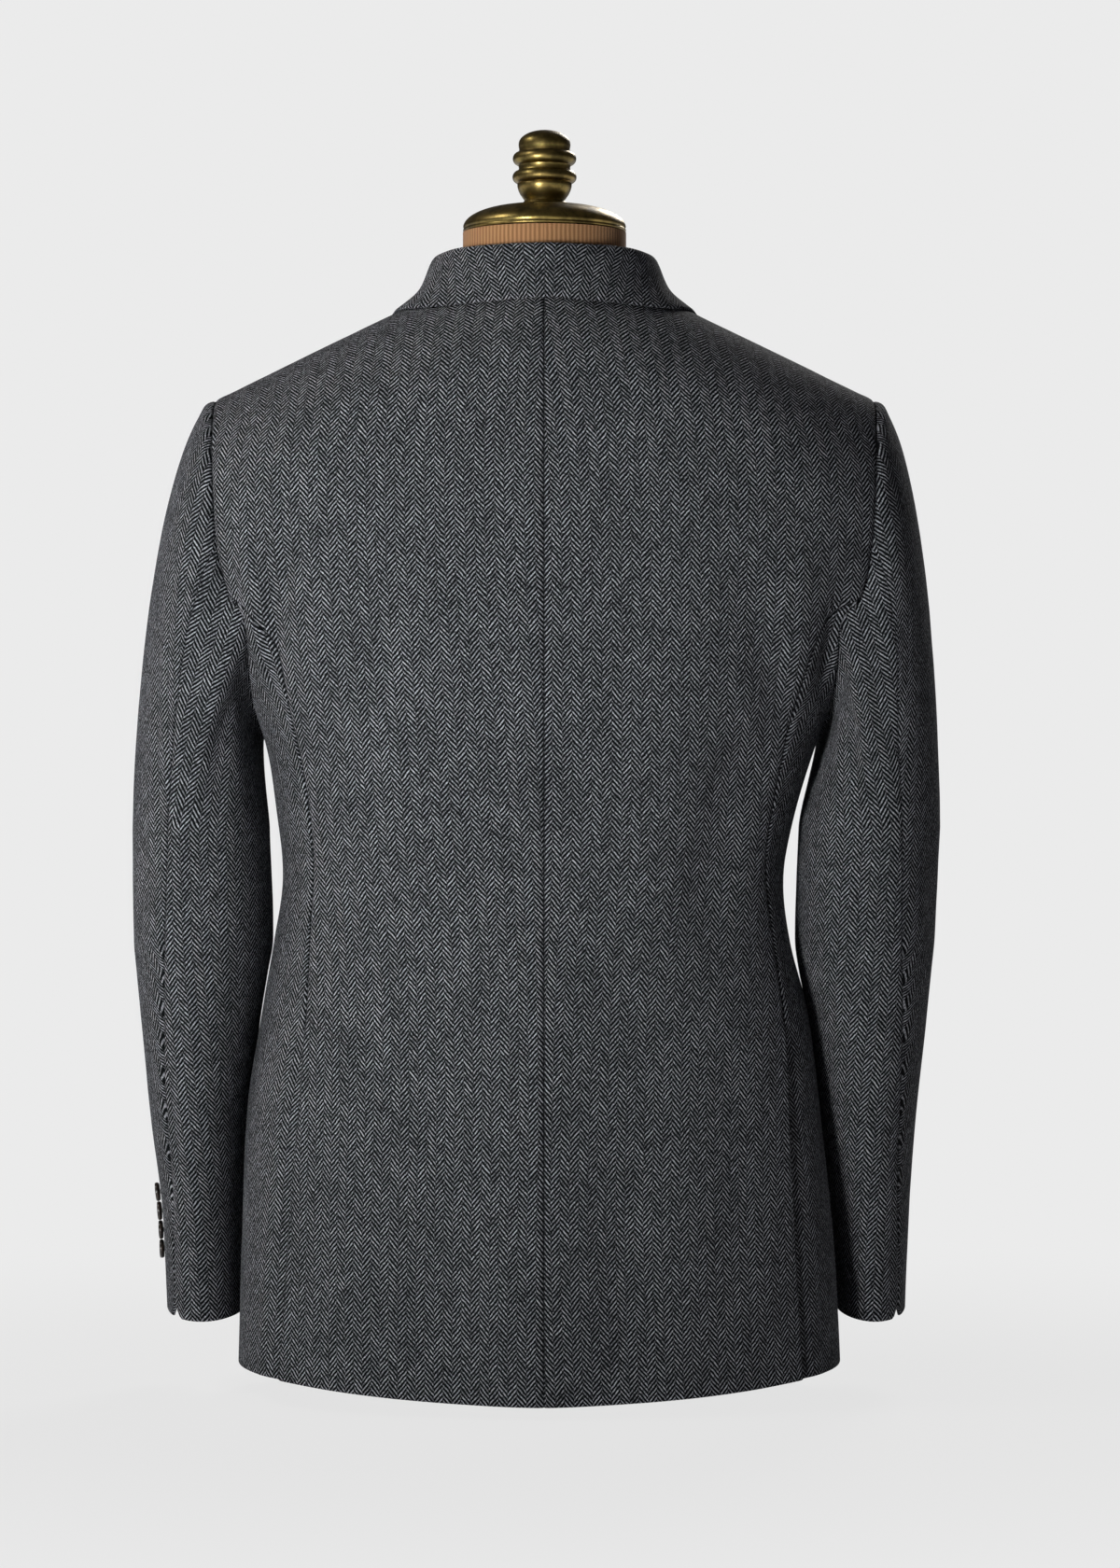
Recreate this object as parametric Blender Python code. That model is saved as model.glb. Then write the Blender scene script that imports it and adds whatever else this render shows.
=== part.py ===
"""Sport coat on a limbless countertop dress form.

Metres, +Z up. The origin is on the floor under the form. The coat's front faces -Y,
and the wearer's left is +X. Every cloth panel is a wall between a shell worked out
from the section tables below and the same shell moved inwards by the cloth's thickness.
"""
import math

import bmesh
import bpy
import numpy as np
from mathutils import Matrix, Vector

# Driving dimensions
CLOTH = 0.0020            # thickness of the cloth
GAP = 0.0003              # clearance at seams and under laid-on pieces
HEM_BACK = 0.0095         # height of the hem at the centre back
HEM_SIDE = 0.0245         # height of the hem at the sides
HEM_FRONT = 0.016         # height of the hem at the front
HEM_SHAPE = 1.5           # exponent of the hem's rise from the centres to the sides
NECK_HALF = 0.078         # half width of the neckline, at the neck points
NECK_BACK_Z = 0.772       # height of the collar seam at the centre back
SHOULDER_HALF = 0.2315    # half width from shoulder point to shoulder point
RIDGE_TOP = 0.8148        # the shoulder lines, produced, meet near this height
RIDGE_SLOPE = 0.494       # fall of the shoulder line for each metre out
RIDGE_SOFT = 0.030        # rounding of the ridge line at the neck
SHOULDER_ROLL = 0.085     # depth below the ridge over which the shoulders round over
SQUARENESS = 2.4          # exponent of the body's sections, where 2 is an ellipse
ARMHOLE_BOTTOM = 0.462    # height of the underarm point
SIDE_BACK_TOP = 0.560     # where the side-back seam meets the armhole
SIDE_FRONT_TOP = 0.535    # where the side-front seam meets the armhole
ARMHOLE_SHAPE = 1.4       # exponent of the armhole's curve under the arm
VENT_TOP = 0.267          # top of the side vents
VENT_UNDERLAP = 0.032     # how far the side panel runs on under the back
FRONT_OVERLAP = 0.020     # how far each front runs past the centre
BREAK_Z = 0.392           # where the lapels start to roll
BUTTON_Z = (0.372, 0.262)
BUTTON_RADIUS = 0.0100
BUTTON_THICKNESS = 0.0032
BUTTON_LIFT = 0.00045     # clearance under a button
BUTTON_SEGMENTS = 14
CUFF_BUTTONS = 4          # on each cuff
CUFF_BUTTON_RADIUS = 0.0067
CUFF_BUTTON_PITCH = 0.0138
CUFF_BUTTON_FIRST = 0.046  # from the cuff's edge to the lowest cuff button
# Their place round the left and the right sleeve, from the outside towards the back.
CUFF_BUTTON_PHI = {1: math.radians(4), -1: math.radians(-36)}
CUFF_Z = 0.052
FLAP_ANGLES = (158.0, 119.0)  # the hip flaps' ends, in degrees from the centre back
FLAP_TOP = 0.232
FLAP_HEIGHT = 0.052
FLAP_SLANT = 0.006
WELT_X = (0.114, 0.188)   # the breast welt's ends
WELT_Z = 0.552            # its lower inner corner
WELT_HEIGHT = 0.024
WELT_SLANT = 0.009
NECK_Y = 0.012            # centre of the neck
NECK_TOP = 0.8180         # top of the covered neck
FORM_NECK = 0.0575        # radius of the neck
FORM_NECK_FROM = 0.750    # the shoulders turn into the neck between these heights
FORM_NECK_FULL = 0.784
FORM_CLEAR = 0.0006       # clearance of the form's shoulders under the coat
FORM_SEGMENTS = 36
CAP_RADIUS = 0.0574
CAP_TOP = 0.8380
FINIAL_TOP = 0.8905
FOOT_Y = -0.030           # centre of the foot and the base
BASE_RADIUS = 0.075
BASE_HEIGHT = 0.014
GORGE_Z = 0.7038          # where the collar meets the lapels, on the roll line
SLEEVE_TWIST = math.radians(34)  # turn of the sleeve seams from the armhole to the cuff
CUTAWAY = 0.095           # how far the fronts' edges curve away below the last button
CUTAWAY_SHAPE = 2.2       # exponent of that curve
CORNER_RISE = 0.030       # rounding of the fronts' lower corners
LAP_LIFT = 0.0030         # how far the left front lies outside the right one
LAP_REACH = 0.075         # distance from the centre over which it comes back down
LAP_FADE = 0.100          # height over which it comes back down above the overlap
UNDER_LAPEL_START = 0.470  # the right lapel starts clear of the left front
LAPEL_OPENING = 0.050     # height over which a lapel opens to its full width
LAPEL_START = 0.08        # share of the opening it has at its lower end
COLLAR_FOLD = 0.0029      # outer radius of the collar's fold
COLLAR_BOW = 0.0015       # how far the fall bows off the straight
COLLAR_HUG = 0.0080       # how far it draws in beside the neck
SLEEVE_BULGE = 0.006      # fullness of the sleevehead at the back and the front
COLLAR_LIFT = 0.0018      # clearance under the collar's fall
SEAM_DROP = 0.0002        # the collar starts this far below the shoulder line
EDGE_DROP = 0.0001        # and its edge stays this far below it
LAID_LIFT = 0.0012        # clearance under lapels, flaps and the welt
VENT_DIP = 0.0030         # how far the vents' underlap lies inside the back
VENT_RUN_IN = 0.035       # height over which the side panel's edge dips to it

# The body's sections: height, half widths at the widest, depth of the widest place,
# and how far the back and the front stand behind and before it.
BODY_COLUMNS = ("z", "left", "right", "middle", "back", "front")
BODY_ROWS = (
    (0.000, 0.2165, 0.2095, 0.000, 0.136, 0.137),
    (0.100, 0.2138, 0.2045, 0.000, 0.135, 0.138),
    (0.200, 0.2098, 0.1945, -0.001, 0.130, 0.139),
    (0.270, 0.1995, 0.1858, -0.004, 0.122, 0.139),
    (0.320, 0.1910, 0.1735, -0.007, 0.116, 0.138),
    (0.365, 0.1851, 0.1689, -0.008, 0.114, 0.137),
    (0.410, 0.1893, 0.1772, -0.006, 0.120, 0.138),
    (0.462, 0.1975, 0.1930, 0.000, 0.128, 0.140),
    (0.500, 0.2130, 0.2100, 0.003, 0.133, 0.141),
    (0.560, 0.2450, 0.2440, 0.006, 0.136, 0.139),
    (0.610, 0.2600, 0.2600, 0.008, 0.135, 0.133),
    (0.660, 0.2660, 0.2660, 0.009, 0.128, 0.122),
    (0.700, 0.2660, 0.2660, 0.010, 0.119, 0.110),
    (0.740, 0.2660, 0.2660, 0.010, 0.107, 0.096),
    (0.780, 0.2660, 0.2660, 0.010, 0.093, 0.082),
    (0.830, 0.2660, 0.2660, 0.010, 0.080, 0.070),
)

# Where the panels end, as distances from the centre at each height: the side-back seam
# and the side-front seam on the left and the right, and the armhole at its back and front.
SEAM_COLUMNS = ("z", "left", "right")
SIDE_BACK_ROWS = (
    (0.000, 0.1840, 0.1790),
    (0.100, 0.1765, 0.1735),
    (0.200, 0.1690, 0.1690),
    (0.267, 0.1650, 0.1665),
    (0.330, 0.1625, 0.1585),
    (0.375, 0.1605, 0.1545),
    (0.420, 0.1640, 0.1600),
    (0.474, 0.1735, 0.1715),
    (0.516, 0.1830, 0.1815),
    (0.545, 0.1985, 0.1985),
    (0.560, 0.2180, 0.2180),
)
ARMHOLE_COLUMNS = ("z", "back", "front")
ARMHOLE_ROWS = (
    (0.480, 0.1985, 0.2010),
    (0.520, 0.2080, 0.1985),
    (0.535, 0.2110, 0.1980),
    (0.560, 0.2180, 0.1990),
    (0.590, 0.2255, 0.2030),
    (0.640, 0.2290, 0.2130),
    (0.680, 0.2310, 0.2260),
    (0.700, 0.2315, 0.2315),
)
SIDE_FRONT_ROWS = (
    (0.000, 0.1500, 0.1450),
    (0.200, 0.1480, 0.1420),
    (0.375, 0.1360, 0.1300),
    (0.462, 0.1520, 0.1500),
    (0.510, 0.1760, 0.1750),
    (0.535, 0.1980, 0.1980),
)

# The hanging sleeves: height, the outer and inner limits of each across, and the
# front and back limits.
SLEEVE_COLUMNS = ("z", "left_out", "left_in", "right_out", "right_in", "front", "back")
SLEEVE_ROWS = (
    (0.400, 0.2911, 0.1946, 0.2798, 0.1800, -0.074, 0.067),
    (0.320, 0.2908, 0.1935, 0.2760, 0.1775, -0.077, 0.062),
    (0.260, 0.2857, 0.2045, 0.2704, 0.1890, -0.081, 0.053),
    (0.190, 0.2797, 0.2120, 0.2636, 0.1975, -0.088, 0.040),
    (0.125, 0.2727, 0.2135, 0.2598, 0.2035, -0.096, 0.026),
    (CUFF_Z, 0.2704, 0.2135, 0.2580, 0.2080, -0.106, 0.012),
)

# The dress form: height, greatest half width, and the share of the coat's depth it fills.
FORM_COLUMNS = ("z", "half", "fill")
FORM_ROWS = (
    (0.085, 0.140, 0.74),
    (0.110, 0.165, 0.84),
    (0.160, 0.180, 0.89),
    (0.230, 0.174, 0.89),
    (0.340, 0.150, 0.87),
    (0.400, 0.153, 0.89),
    (0.500, 0.178, 0.93),
    (0.600, 0.197, 0.93),
    (0.660, 0.206, 0.93),
    (0.820, 0.215, 0.93),
)
FORM_LEVELS = (
    0.085, 0.090, 0.100, 0.115, 0.145, 0.185, 0.235, 0.290, 0.340, 0.390, 0.440, 0.490,
    0.540, 0.585, 0.625, 0.660, 0.685, 0.700, 0.713, 0.725, 0.736, 0.746, 0.755, 0.764,
    0.772, 0.780, 0.790, 0.804, NECK_TOP,
)

# The lapels: the roll line's height, and the outer edge that lies across from it.
LAPEL_COLUMNS = ("z", "edge_x", "edge_z")
LAPEL_ROWS = (
    (0.392, -0.020, 0.392),
    (0.430, 0.012, 0.420),
    (0.480, 0.048, 0.458),
    (0.540, 0.078, 0.510),
    (0.610, 0.108, 0.577),
    (0.670, 0.136, 0.641),
    (0.703, 0.150, 0.676),
)

# The collar, from the centre back (0) over the neck point (0.5) to the gorge (1): the
# stand's height, then a point halfway down the fall and its edge, both on the shell.
COLLAR_COLUMNS = ("along", "stand", "mid_x", "mid_z", "edge_x", "edge_z")
COLLAR_ROWS = (
    (0.000, 0.0310, 0.000, 0.7800, 0.000, 0.7636),
    (0.250, 0.0300, 0.043, 0.7740, 0.050, 0.7602),
    (0.375, 0.0275, 0.072, 0.7670, 0.083, 0.7590),
    (0.4375, 0.0258, 0.084, 0.7660, 0.0985, 0.7606),
    (0.500, 0.0240, 0.090, 0.7660, 0.104, 0.7612),
    (0.600, 0.0200, 0.096, 0.7560, 0.114, 0.7480),
    (0.800, 0.0120, 0.096, 0.7280, 0.120, 0.7230),
    (1.000, 0.0060, 0.094, 0.6945, 0.110, 0.7090),
)

# Grid steps
BODY_STEPS = 10           # rows from the hem to the armhole
YOKE_STEPS = 9            # rows from the armhole's start to the shoulder seam
YOKE_SHAPE = 2.2          # exponent that draws those rows together near the seam
LAPEL_STEPS = 12          # rows of a lapel along the roll line
LAPEL_COLUMN_STEPS = 5
GORGE_STEPS = 5           # stations of the collar from each neck point to the gorge
SLEEVE_STEPS = 8          # rows of a sleeve below its head
HEAD_STEPS = (0, 0.045, 0.10, 0.18, 0.30, 0.45, 0.62, 0.80, 1.0)
HEAD_SHARE = 0.4          # share of the sleeve's twist that its head takes
HIND_SEAM = 8             # place of the hind-arm seam round the armhole
FRONT_SEAM = 16           # place of the front-arm seam round the armhole

# How the sleeve leaves the armhole and reaches its first level ring, at the top, at the
# back and front, and under the arm.
HEAD_LEAVING = ((0.0285, 0, -0.0085), (0.022, 0, -0.030), (0.010, 0, 0.006))
HEAD_ARRIVING = ((-0.002, 0, 0.140), (0, 0, 0.080), (0.002, 0, 0.022))

NECK_COLUMNS = 8          # columns of the back under the collar
SHOULDER_COLUMNS = 5      # columns along the shoulder seam
SIDE_COLUMNS = 6          # columns of a side panel
TURNED_SEGMENTS = 32      # sides of the cap and the base; the finial and the foot have fewer
THIN_SEGMENTS = 24

MATERIALS = {
    "wool": ((0.055, 0.057, 0.062, 1.0), 0.90, 0.0),
    "horn": ((0.014, 0.012, 0.011, 1.0), 0.35, 0.0),
    "linen": ((0.300, 0.155, 0.072, 1.0), 0.85, 0.0),
    "brass": ((0.210, 0.140, 0.055, 1.0), 0.38, 1.0),
    "wood": ((0.060, 0.028, 0.012, 1.0), 0.45, 0.0),
}


def read_table(rows, columns, name, value):
    """Reads one column of a table at a height, on a smooth curve through its rows."""
    heights = [row[0] for row in rows]
    values = [row[columns.index(name)] for row in rows]
    falling = heights[0] > heights[-1]
    if falling:
        heights = heights[::-1]
        values = values[::-1]
    value = min(max(value, heights[0]), heights[-1])
    slopes = []
    for i in range(len(heights)):
        low = max(i - 1, 0)
        high = min(i + 1, len(heights) - 1)
        slopes.append((values[high] - values[low]) / (heights[high] - heights[low]))
    i = 0
    while i < len(heights) - 2 and value > heights[i + 1]:
        i += 1
    step = heights[i + 1] - heights[i]
    t = (value - heights[i]) / step
    return (
        (2 * t**3 - 3 * t**2 + 1) * values[i]
        + (t**3 - 2 * t**2 + t) * step * slopes[i]
        + (3 * t**2 - 2 * t**3) * values[i + 1]
        + (t**3 - t**2) * step * slopes[i + 1]
    )


def mix(a, b, t):
    return a + (b - a) * t


def ease(t):
    t = min(max(t, 0.0), 1.0)
    return t * t * (3 - 2 * t)


def side_name(side):
    return "left" if side > 0 else "right"


def half_width(side, z):
    return read_table(BODY_ROWS, BODY_COLUMNS, side_name(side), z)


def middle(z):
    return read_table(BODY_ROWS, BODY_COLUMNS, "middle", z)


def ridge(x):
    """Height of the shoulder line at a distance from the centre."""
    return RIDGE_TOP - RIDGE_SLOPE * math.hypot(x, RIDGE_SOFT)


def roll_off(x, z):
    """How much of the body's depth is left near the shoulder line, from 0 on it to 1."""
    s = min(max((ridge(x) - z) / SHOULDER_ROLL, 0.0), 1.0)
    return 2 * s - s * s


def shell_y(side, face, x, z):
    """Depth of the coat's outer shell at (x, z). x counts from the centre outwards."""
    width = half_width(side, z)
    depth = read_table(BODY_ROWS, BODY_COLUMNS, face, z)
    across = max(1 - abs(x / width) ** SQUARENESS, 0.0) ** (1 / SQUARENESS)
    reach = depth * math.sqrt(roll_off(x, z)) * across
    return middle(z) + (reach if face == "back" else -reach)


def shell_level(side, x, y, z):
    """Negative inside the shell and positive outside it."""
    face = "back" if y > middle(z) else "front"
    width = half_width(side, z)
    depth = read_table(BODY_ROWS, BODY_COLUMNS, face, z)
    across = max(1 - abs(x / width) ** SQUARENESS, 0.0) ** (2 / SQUARENESS)
    return ((y - middle(z)) / depth) ** 2 - roll_off(x, z) * across


def shell_normal(side, x, y, z):
    """Unit normal of the shell, for x counted from the centre outwards."""
    h = 0.0002
    grad = np.array((
        shell_level(side, x + h, y, z) - shell_level(side, x - h, y, z),
        shell_level(side, x, y + h, z) - shell_level(side, x, y - h, z),
        shell_level(side, x, y, z + h) - shell_level(side, x, y, z - h),
    ))
    return grad / np.linalg.norm(grad)


def shell_sample(side, face, x, z):
    """(point, normal) of the shell in the world, on its back or its front."""
    y = shell_y(side, face, x, z)
    normal = shell_normal(side, x, y, z)
    return np.array((side * x, y, z)), normal * (side, 1, 1)


def angle_sample(side, angle, z):
    """(point, normal) of the shell at an angle round it, 0 at the centre back."""
    width = half_width(side, z)
    power = 2 / SQUARENESS
    x = width * abs(math.sin(angle)) ** power
    face = "back" if angle < math.pi / 2 else "front"
    depth = read_table(BODY_ROWS, BODY_COLUMNS, face, z)
    y = middle(z) + math.copysign(
        depth * math.sqrt(roll_off(x, z)) * abs(math.cos(angle)) ** power, math.cos(angle)
    )
    return np.array((side * x, y, z)), shell_normal(side, x, y, z) * (side, 1, 1)


def angle_of(side, face, x, z):
    ratio = min(x / half_width(side, z), 1.0) ** (SQUARENESS / 2)
    angle = math.asin(ratio)
    return angle if face == "back" else math.pi - angle


def side_back(side, z):
    return read_table(SIDE_BACK_ROWS, SEAM_COLUMNS, side_name(side), z)


def side_front(side, z):
    return read_table(SIDE_FRONT_ROWS, SEAM_COLUMNS, side_name(side), z)


def armhole(face, z):
    return read_table(ARMHOLE_ROWS, ARMHOLE_COLUMNS, face, z)


def hem(angle):
    """Height of the hem at an angle round the body."""
    level = HEM_BACK if angle < math.pi / 2 else HEM_FRONT
    return level + (HEM_SIDE - level) * abs(math.sin(angle)) ** HEM_SHAPE


def armhole_level(c):
    """Height of the side panel's top edge, c running from its back seam to its front."""
    end = SIDE_BACK_TOP if c < 0.5 else SIDE_FRONT_TOP
    return ARMHOLE_BOTTOM + (end - ARMHOLE_BOTTOM) * abs(2 * c - 1) ** ARMHOLE_SHAPE


def neck_place(t):
    """Spaces places along the neckline evenly round its curve, from 0 to 1."""
    return math.sin(t * math.pi / 2)


def neckline(x):
    """Height of the back's top edge: the collar seam, then the shoulder line."""
    if x >= NECK_HALF:
        return ridge(x)
    return mix(NECK_BACK_Z, ridge(NECK_HALF), (x / NECK_HALF) ** 2)


def front_edge(z):
    """Distance from the centre to a front's edge: cutaway, closing edge, roll line."""
    if z < BUTTON_Z[1]:
        return CUTAWAY * (1 - z / BUTTON_Z[1]) ** CUTAWAY_SHAPE - FRONT_OVERLAP
    if z < BREAK_Z:
        return -FRONT_OVERLAP
    rise = (z - BREAK_Z) / (ridge(NECK_HALF) - BREAK_Z)
    return mix(-FRONT_OVERLAP, NECK_HALF, rise)


def lap(side, x, z):
    """How far the left front lies over the right one near the closing edge."""
    if side < 0:
        return 0.0
    near = ease((LAP_REACH - x) / (LAP_REACH - FRONT_OVERLAP))
    return LAP_LIFT * near * (1 - ease((z - UNDER_LAPEL_START) / LAP_FADE))


def trim(points, edges, by=GAP * 0.6):
    """Draws the named edges of a grid in towards the row or column beside them."""
    beside = {"first_row": (0, 1), "last_row": (-1, -2)}
    across = {"first_column": (0, 1), "last_column": (-1, -2)}
    out = points.copy()
    for edge in edges:
        if edge in beside:
            at, near = beside[edge]
            way = points[near] - points[at]
            out[at] += by * way / np.linalg.norm(way, axis=1)[:, None]
        else:
            at, near = across[edge]
            way = points[:, near] - points[:, at]
            out[:, at] += by * way / np.linalg.norm(way, axis=1)[:, None]
    return out


def new_material(name):
    colour, roughness, metallic = MATERIALS[name]
    material = bpy.data.materials.new(name)
    material.use_nodes = True
    shader = material.node_tree.nodes["Principled BSDF"]
    shader.inputs["Base Color"].default_value = colour
    shader.inputs["Roughness"].default_value = roughness
    shader.inputs["Metallic"].default_value = metallic
    return material


def add_object(name, mesh, material):
    mesh.materials.append(new_material(material))
    mesh.shade_smooth()
    mesh.set_sharp_from_angle(angle=math.radians(40))
    item = bpy.data.objects.new(name, mesh)
    bpy.context.scene.collection.objects.link(item)
    return item


def finish_mesh(name, bm, material):
    """Turns the faces outwards and makes the object."""
    if bm.calc_volume(signed=True) < 0:
        bmesh.ops.reverse_faces(bm, faces=bm.faces[:])
    mesh = bpy.data.meshes.new(name)
    bm.to_mesh(mesh)
    bm.free()
    return add_object(name, mesh, material)


def wall(name, points, normals, keep=None):
    """A closed cloth wall: the grid of outer points, and the same moved inwards."""
    rows, columns = points.shape[:2]
    bm = bmesh.new()
    made = {}

    def vert(i, j, layer):
        if (i, j, layer) not in made:
            made[i, j, layer] = bm.verts.new(points[i, j] - layer * CLOTH * normals[i, j])
        return made[i, j, layer]

    rim = set()
    for i in range(rows - 1):
        for j in range(columns - 1):
            if keep is not None and not keep(i, j):
                continue
            ring = [(i, j), (i, j + 1), (i + 1, j + 1), (i + 1, j)]
            bm.faces.new([vert(*corner, 0) for corner in ring])
            bm.faces.new([vert(*corner, 1) for corner in reversed(ring)])
            for start, end in zip(ring, ring[1:] + ring[:1]):
                if (end, start) in rim:
                    rim.remove((end, start))
                else:
                    rim.add((start, end))
    for start, end in sorted(rim):
        bm.faces.new([vert(*end, 0), vert(*start, 0), vert(*start, 1), vert(*end, 1)])
    finish_mesh(name, bm, "wool")


def grid(rows, columns, sample):
    """(points, normals) of a grid from a function that gives both at a row and column."""
    points = np.empty((rows, columns, 3))
    normals = np.empty((rows, columns, 3))
    for i in range(rows):
        for j in range(columns):
            points[i, j], normals[i, j] = sample(i, j)
    return points, normals


def yoke_step(k):
    """Fraction of the way up the yoke, closer together near the shoulder line."""
    return 1 - (1 - k / YOKE_STEPS) ** YOKE_SHAPE


def back_grid(side):
    neck = NECK_HALF / SHOULDER_HALF
    fractions = [neck * neck_place(k / NECK_COLUMNS) for k in range(NECK_COLUMNS)]
    fractions += [mix(neck, 1, k / SHOULDER_COLUMNS) for k in range(SHOULDER_COLUMNS + 1)]

    def sample(i, j):
        u = fractions[j]
        if i <= BODY_STEPS:
            foot = hem(angle_of(side, "back", u * side_back(side, HEM_SIDE), HEM_SIDE))
            z = mix(foot, SIDE_BACK_TOP, i / BODY_STEPS)
            return shell_sample(side, "back", u * side_back(side, z), z)
        z = mix(SIDE_BACK_TOP, neckline(u * SHOULDER_HALF), yoke_step(i - BODY_STEPS))
        return shell_sample(side, "back", u * armhole("back", z), z)

    return grid(BODY_STEPS + YOKE_STEPS + 1, len(fractions), sample)


def make_back(side):
    points, normals = back_grid(side)
    points = trim(points, ("last_row",))
    points = trim(points, ("first_column", "last_column"))
    wall(f"back_{side_name(side)}", points, normals)


def side_angles(side, z):
    start = angle_of(side, "back", side_back(side, z), z)
    end = angle_of(side, "front", side_front(side, z), z)
    return start, end


def side_grid(side):
    def sample(i, j):
        c = j / SIDE_COLUMNS
        foot = hem(mix(*side_angles(side, HEM_SIDE), c))
        z = mix(foot, armhole_level(c), i / BODY_STEPS)
        return angle_sample(side, mix(*side_angles(side, z), c), z)

    return grid(BODY_STEPS + 1, SIDE_COLUMNS + 1, sample)


def make_side(side):
    """The side panel. Below the vent's top its back edge dips and runs on under the back."""
    points, normals = side_grid(side)
    points = trim(points, ("last_row",))
    points = trim(points, ("first_column", "last_column"))
    under = []
    for i in range(BODY_STEPS + 1):
        z = points[i, 0, 2]
        dip = VENT_DIP * ease((VENT_TOP - z) / VENT_RUN_IN)
        points[i, 0] -= dip * normals[i, 0]
        x = side_back(side, z) - VENT_UNDERLAP
        point, normal = shell_sample(side, "back", x, z)
        under.append((point - VENT_DIP * normal, normal))
    strip = [i for i in range(BODY_STEPS + 1) if points[i, 0, 2] < VENT_TOP - VENT_RUN_IN]
    points = np.concatenate([np.array([[point] for point, _ in under]), points], axis=1)
    normals = np.concatenate([np.array([[normal] for _, normal in under]), normals], axis=1)
    wall(f"side_{side_name(side)}", points, normals, keep=lambda i, j: j > 0 or i < strip[-1])


def front_grid(side):
    columns = SHOULDER_COLUMNS + 2

    def across(u, z):
        outer = side_front(side, z) if z < SIDE_FRONT_TOP else armhole("front", z)
        return mix(outer, front_edge(z), u)

    def sample(i, j):
        u = j / columns
        if i <= BODY_STEPS:
            x = across(u, HEM_SIDE)
            foot = hem(angle_of(side, "front", abs(x), HEM_SIDE)) + CORNER_RISE * u**6
            z = mix(foot, SIDE_FRONT_TOP, i / BODY_STEPS)
            x = across(u, z)
        else:
            top = mix(SHOULDER_HALF, NECK_HALF, u)
            v = yoke_step(i - BODY_STEPS)
            z = mix(SIDE_FRONT_TOP, ridge(top), v)
            x = mix(across(u, z), top, v * v)
        point, normal = shell_sample(side, "front", x, z)
        return point + lap(side, x, z) * normal, normal

    return grid(BODY_STEPS + YOKE_STEPS + 1, columns + 1, sample)


def make_front(side):
    points, normals = front_grid(side)
    points = trim(points, ("last_row",))
    points = trim(points, ("first_column",))
    wall(f"front_{side_name(side)}", points, normals)


def make_lapel(side):
    """A lapel: rows along the roll line, each laid on the front's own surface."""
    start = BREAK_Z if side > 0 else UNDER_LAPEL_START
    end = LAPEL_ROWS[-1][0]

    def sample(i, j):
        roll_z = mix(start, end, i / LAPEL_STEPS)
        opening = ease((roll_z - start) / LAPEL_OPENING + LAPEL_START)
        edge_x = read_table(LAPEL_ROWS, LAPEL_COLUMNS, "edge_x", roll_z)
        edge_z = read_table(LAPEL_ROWS, LAPEL_COLUMNS, "edge_z", roll_z)
        t = opening * j / LAPEL_COLUMN_STEPS
        x = mix(front_edge(roll_z), edge_x, t)
        z = mix(roll_z, edge_z, t)
        point, normal = shell_sample(side, "front", x, z)
        return point + (lap(side, x, z) + LAID_LIFT + CLOTH) * normal, normal

    points, normals = grid(LAPEL_STEPS + 1, LAPEL_COLUMN_STEPS + 1, sample)
    wall(f"lapel_{side_name(side)}", points, normals)


def collar_section(side, along):
    """Points and normals of the collar across its fold, from the neck seam to the edge."""
    read = {name: read_table(COLLAR_ROWS, COLLAR_COLUMNS, name, along) for name in COLLAR_COLUMNS}
    if along <= 0.5:
        x = NECK_HALF * neck_place(2 * along)
        drop = SEAM_DROP if along == 0.5 else 0
        seam, normal = shell_sample(side, "back", x, neckline(x) - drop)
    else:
        z = mix(ridge(NECK_HALF), GORGE_Z, 2 * along - 1)
        seam, normal = shell_sample(side, "front", front_edge(z), z)
    outwards = np.array((normal[0], normal[1], 0.0))
    outwards /= np.linalg.norm(outwards)
    up = np.array((0.0, 0.0, 1.0))
    uphill = up - normal[2] * normal
    seam = seam + 3 * GAP * uphill / np.linalg.norm(uphill)
    height = read["stand"]
    face = "back" if along < 0.5 else "front"
    lift = CLOTH + COLLAR_LIFT
    bow = mix(COLLAR_BOW, -COLLAR_HUG, min(1, 2 * along) ** 3)
    mid, mid_normal = shell_sample(side, face, read["mid_x"], read["mid_z"])
    edge_z = min(read["edge_z"], ridge(read["edge_x"]) - EDGE_DROP)
    edge, edge_normal = shell_sample(side, face, read["edge_x"], edge_z)
    inner = seam - CLOTH * outwards
    outer = seam + (2 * COLLAR_FOLD - CLOTH) * outwards
    points = [
        seam - CLOTH * normal,
        inner + 0.5 * height * up,
        inner + (height - COLLAR_FOLD) * up,
        inner + height * up + COLLAR_FOLD * outwards,
        outer + (height - COLLAR_FOLD) * up,
        mix(outer + (height - COLLAR_FOLD) * up, edge + lift * edge_normal, 0.5)
        + bow * (outwards + up) / 2,
        edge + lift * edge_normal,
    ]
    if along > 0.5:
        # Towards the gorge the fall comes down to lie on the front.
        laid = mid + (lift + COLLAR_BOW) * mid_normal
        points[5] = mix(points[5], laid, ease(2 * along - 1))
    normals = [-normal, -outwards, -outwards, up, outwards, edge_normal, edge_normal]
    return points, normals


def make_collar():
    half = [0.5 * k / NECK_COLUMNS for k in range(NECK_COLUMNS)]
    half += [mix(0.5, 1, k / GORGE_STEPS) for k in range(GORGE_STEPS + 1)]
    sections = [collar_section(-1, along) for along in half[:0:-1]]
    sections += [collar_section(1, along) for along in half]
    points = np.array([points for points, _ in sections])
    normals = np.array([normals for _, normals in sections])
    wall("collar", points, normals)


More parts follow.
